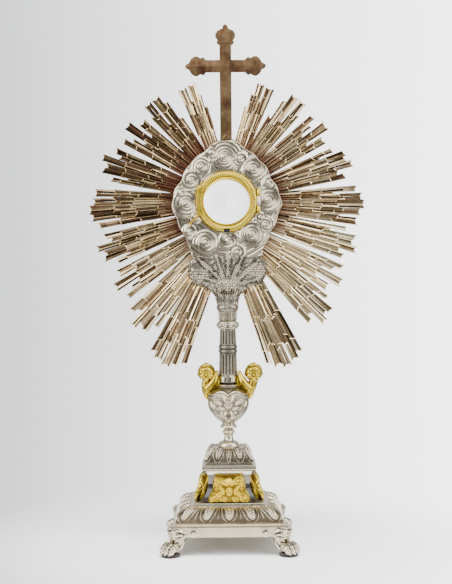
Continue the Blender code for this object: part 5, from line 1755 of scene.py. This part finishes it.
# The room the metal reflects: direction, cosine of a patch's edge, cosine of its core, brightness added
ROOM_LEVEL = 0.40
ROOM_PATCHES = (
    ((0.0, 1.0, 0.1), 0.35, 0.75, 0.55),
    ((-0.85, -0.5, 0.15), 0.84, 0.93, 2.6),
    ((0.9, -0.4, 0.1), 0.88, 0.95, 2.0),
    ((-0.24, -0.9, 0.42), 0.955, 0.98, 2.4),
    ((0.42, -0.88, -0.10), 0.965, 0.985, 2.0),
    ((0.0, -0.6, 0.8), 0.93, 0.97, 1.2),
    ((0.5, -0.5, 0.71), 0.87, 0.95, 2.8),
    ((0.03, -1.0, 0.03), 0.965, 0.985, -0.26),
    ((-0.42, -0.9, -0.05), 0.97, 0.99, -0.32),
    ((0.25, -0.9, 0.30), 0.97, 0.99, -0.32),
    ((0.65, -0.7, 0.35), 0.96, 0.985, -0.32),
    ((-0.6, -0.6, 0.55), 0.95, 0.98, -0.32),
)


def fade_floor():
    """A pale floor that fades into the background away from the object."""
    bpy.ops.mesh.primitive_circle_add(vertices=128, radius=6.0, fill_type="NGON", location=(0, 0, -0.0002))
    floor = bpy.context.active_object
    floor.name = "floor"
    made = Nodes("pale_floor")
    made.shader.inputs["Base Color"].default_value = (0.80, 0.81, 0.81, 1.0)
    made.shader.inputs["Roughness"].default_value = 0.85
    made.shader.inputs["Specular IOR Level"].default_value = 0.2
    far = made.new("ShaderNodeVectorMath", operation="LENGTH")
    made.link(made.position, far.inputs[0])
    share = made.new("ShaderNodeMapRange", interpolation_type="SMOOTHSTEP",
                     **{"From Min": 0.12, "From Max": 0.52})
    made.link(far.outputs["Value"], share.inputs["Value"])
    clear = made.new("ShaderNodeBsdfTransparent")
    blend = made.new("ShaderNodeMixShader")
    made.link(share.outputs["Result"], blend.inputs[0])
    made.link(made.shader.outputs[0], blend.inputs[1])
    made.link(clear.outputs[0], blend.inputs[2])
    made.link(blend.outputs[0], made.tree.nodes["Material Output"].inputs["Surface"])
    floor.data.materials.append(made.material)


def studio():
    """Soft boxes, a pale background, and a dimmer room with bright panels for the metal to reflect."""
    world = bpy.data.worlds.new("studio")
    bpy.context.scene.world = world
    world.use_nodes = True
    room = Tree(world.node_tree)
    view = room.new("ShaderNodeTexCoord").outputs["Generated"]
    total = ROOM_LEVEL
    for direction, edge, core, bright in ROOM_PATCHES:
        aim = room.new("ShaderNodeVectorMath", operation="DOT_PRODUCT")
        room.link(view, aim.inputs[0])
        aim.inputs[1].default_value = Vector(direction).normalized()
        share = room.new("ShaderNodeMapRange", interpolation_type="SMOOTHSTEP",
                         **{"From Min": edge, "From Max": core, "To Max": bright})
        room.link(aim.outputs["Value"], share.inputs["Value"])
        total = room.math("ADD", share.outputs["Result"], total)
    path = room.new("ShaderNodeLightPath")
    seen = room.math("MAXIMUM", path.outputs["Is Camera Ray"], path.outputs["Is Transmission Ray"])
    split = room.new("ShaderNodeSeparateXYZ")
    room.link(view, split.inputs[0])
    across = room.new("ShaderNodeMapRange", **{"From Min": -0.2, "From Max": 0.2})
    room.link(split.outputs["X"], across.inputs["Value"])
    # Painted falloff of light across the background
    paper = room.mix(across.outputs["Result"], BACKGROUND_LEFT, BACKGROUND_RIGHT)
    room.link(room.mix(seen, total, paper), room.tree.nodes["Background"].inputs["Color"])
    for number, (place, aim, width, height, power, mirrored_in_metal) in enumerate(SOFT_BOXES):
        data = bpy.data.lights.new(f"soft_box_{number + 1}", "AREA")
        data.shape = "RECTANGLE"
        data.size, data.size_y = width, height
        data.energy = power
        item = bpy.data.objects.new(data.name, data)
        item.location = place
        item.rotation_euler = (Vector(aim) - Vector(place)).to_track_quat("-Z", "Y").to_euler()
        item.visible_glossy = mirrored_in_metal
        bpy.context.scene.collection.objects.link(item)


def camera():
    """A level camera that looks along +Y at the door side."""
    data = bpy.data.cameras.new("camera")
    data.lens = CAMERA_LENS
    data.sensor_width = 36.0
    data.clip_end = 50.0
    item = bpy.data.objects.new("camera", data)
    item.location = (CAMERA_ACROSS, -CAMERA_DISTANCE, CAMERA_HEIGHT)
    item.rotation_euler = (math.radians(90), math.radians(CAMERA_ROLL), 0.0)
    bpy.context.scene.collection.objects.link(item)
    bpy.context.scene.camera = item


def carried_over():
    """Materials for the CAD nodes whose own shape is shown."""
    surface_looks = {"silver": SILVER_SMOOTH, "gilt": GILT_PLAIN, "steel": STEEL, "ray_brass": RAY_BRASS,
                "cross_brass": CROSS_BRASS, "dark_silver": DARK_SILVER, "pad": FELT, "black": BLACK,
                "glass": GLASS}
    for row in frame["record"]["subparts"]:
        node = frame["nodes"][row["node"]]
        node.data.materials.clear()
        node.data.materials.append(surface_looks[row["material_slot"]])


carried_over()
rays()
clouds("door_side", -1, 1)
clouds("front_side", 1, -1)
base_plinth()
base_pedestal()
base_cap()
cartouches()
feet()
stem_foot()
knop_urn()
stem_column()
stem_ring()
capital()
cherub("cherub_left", -1)
cherub("cherub_right", 1)
spray("door_side", -1)
spray("front_side", 1)
cross()
slotted_screw("cross_screw", 1.8, 2.2, 4.5, 2.0, 9.6, 0.9, CROSS_BRASS)
door_ring()
latch()
case_and_bezel()
panes()
camera()
studio()
fade_floor()
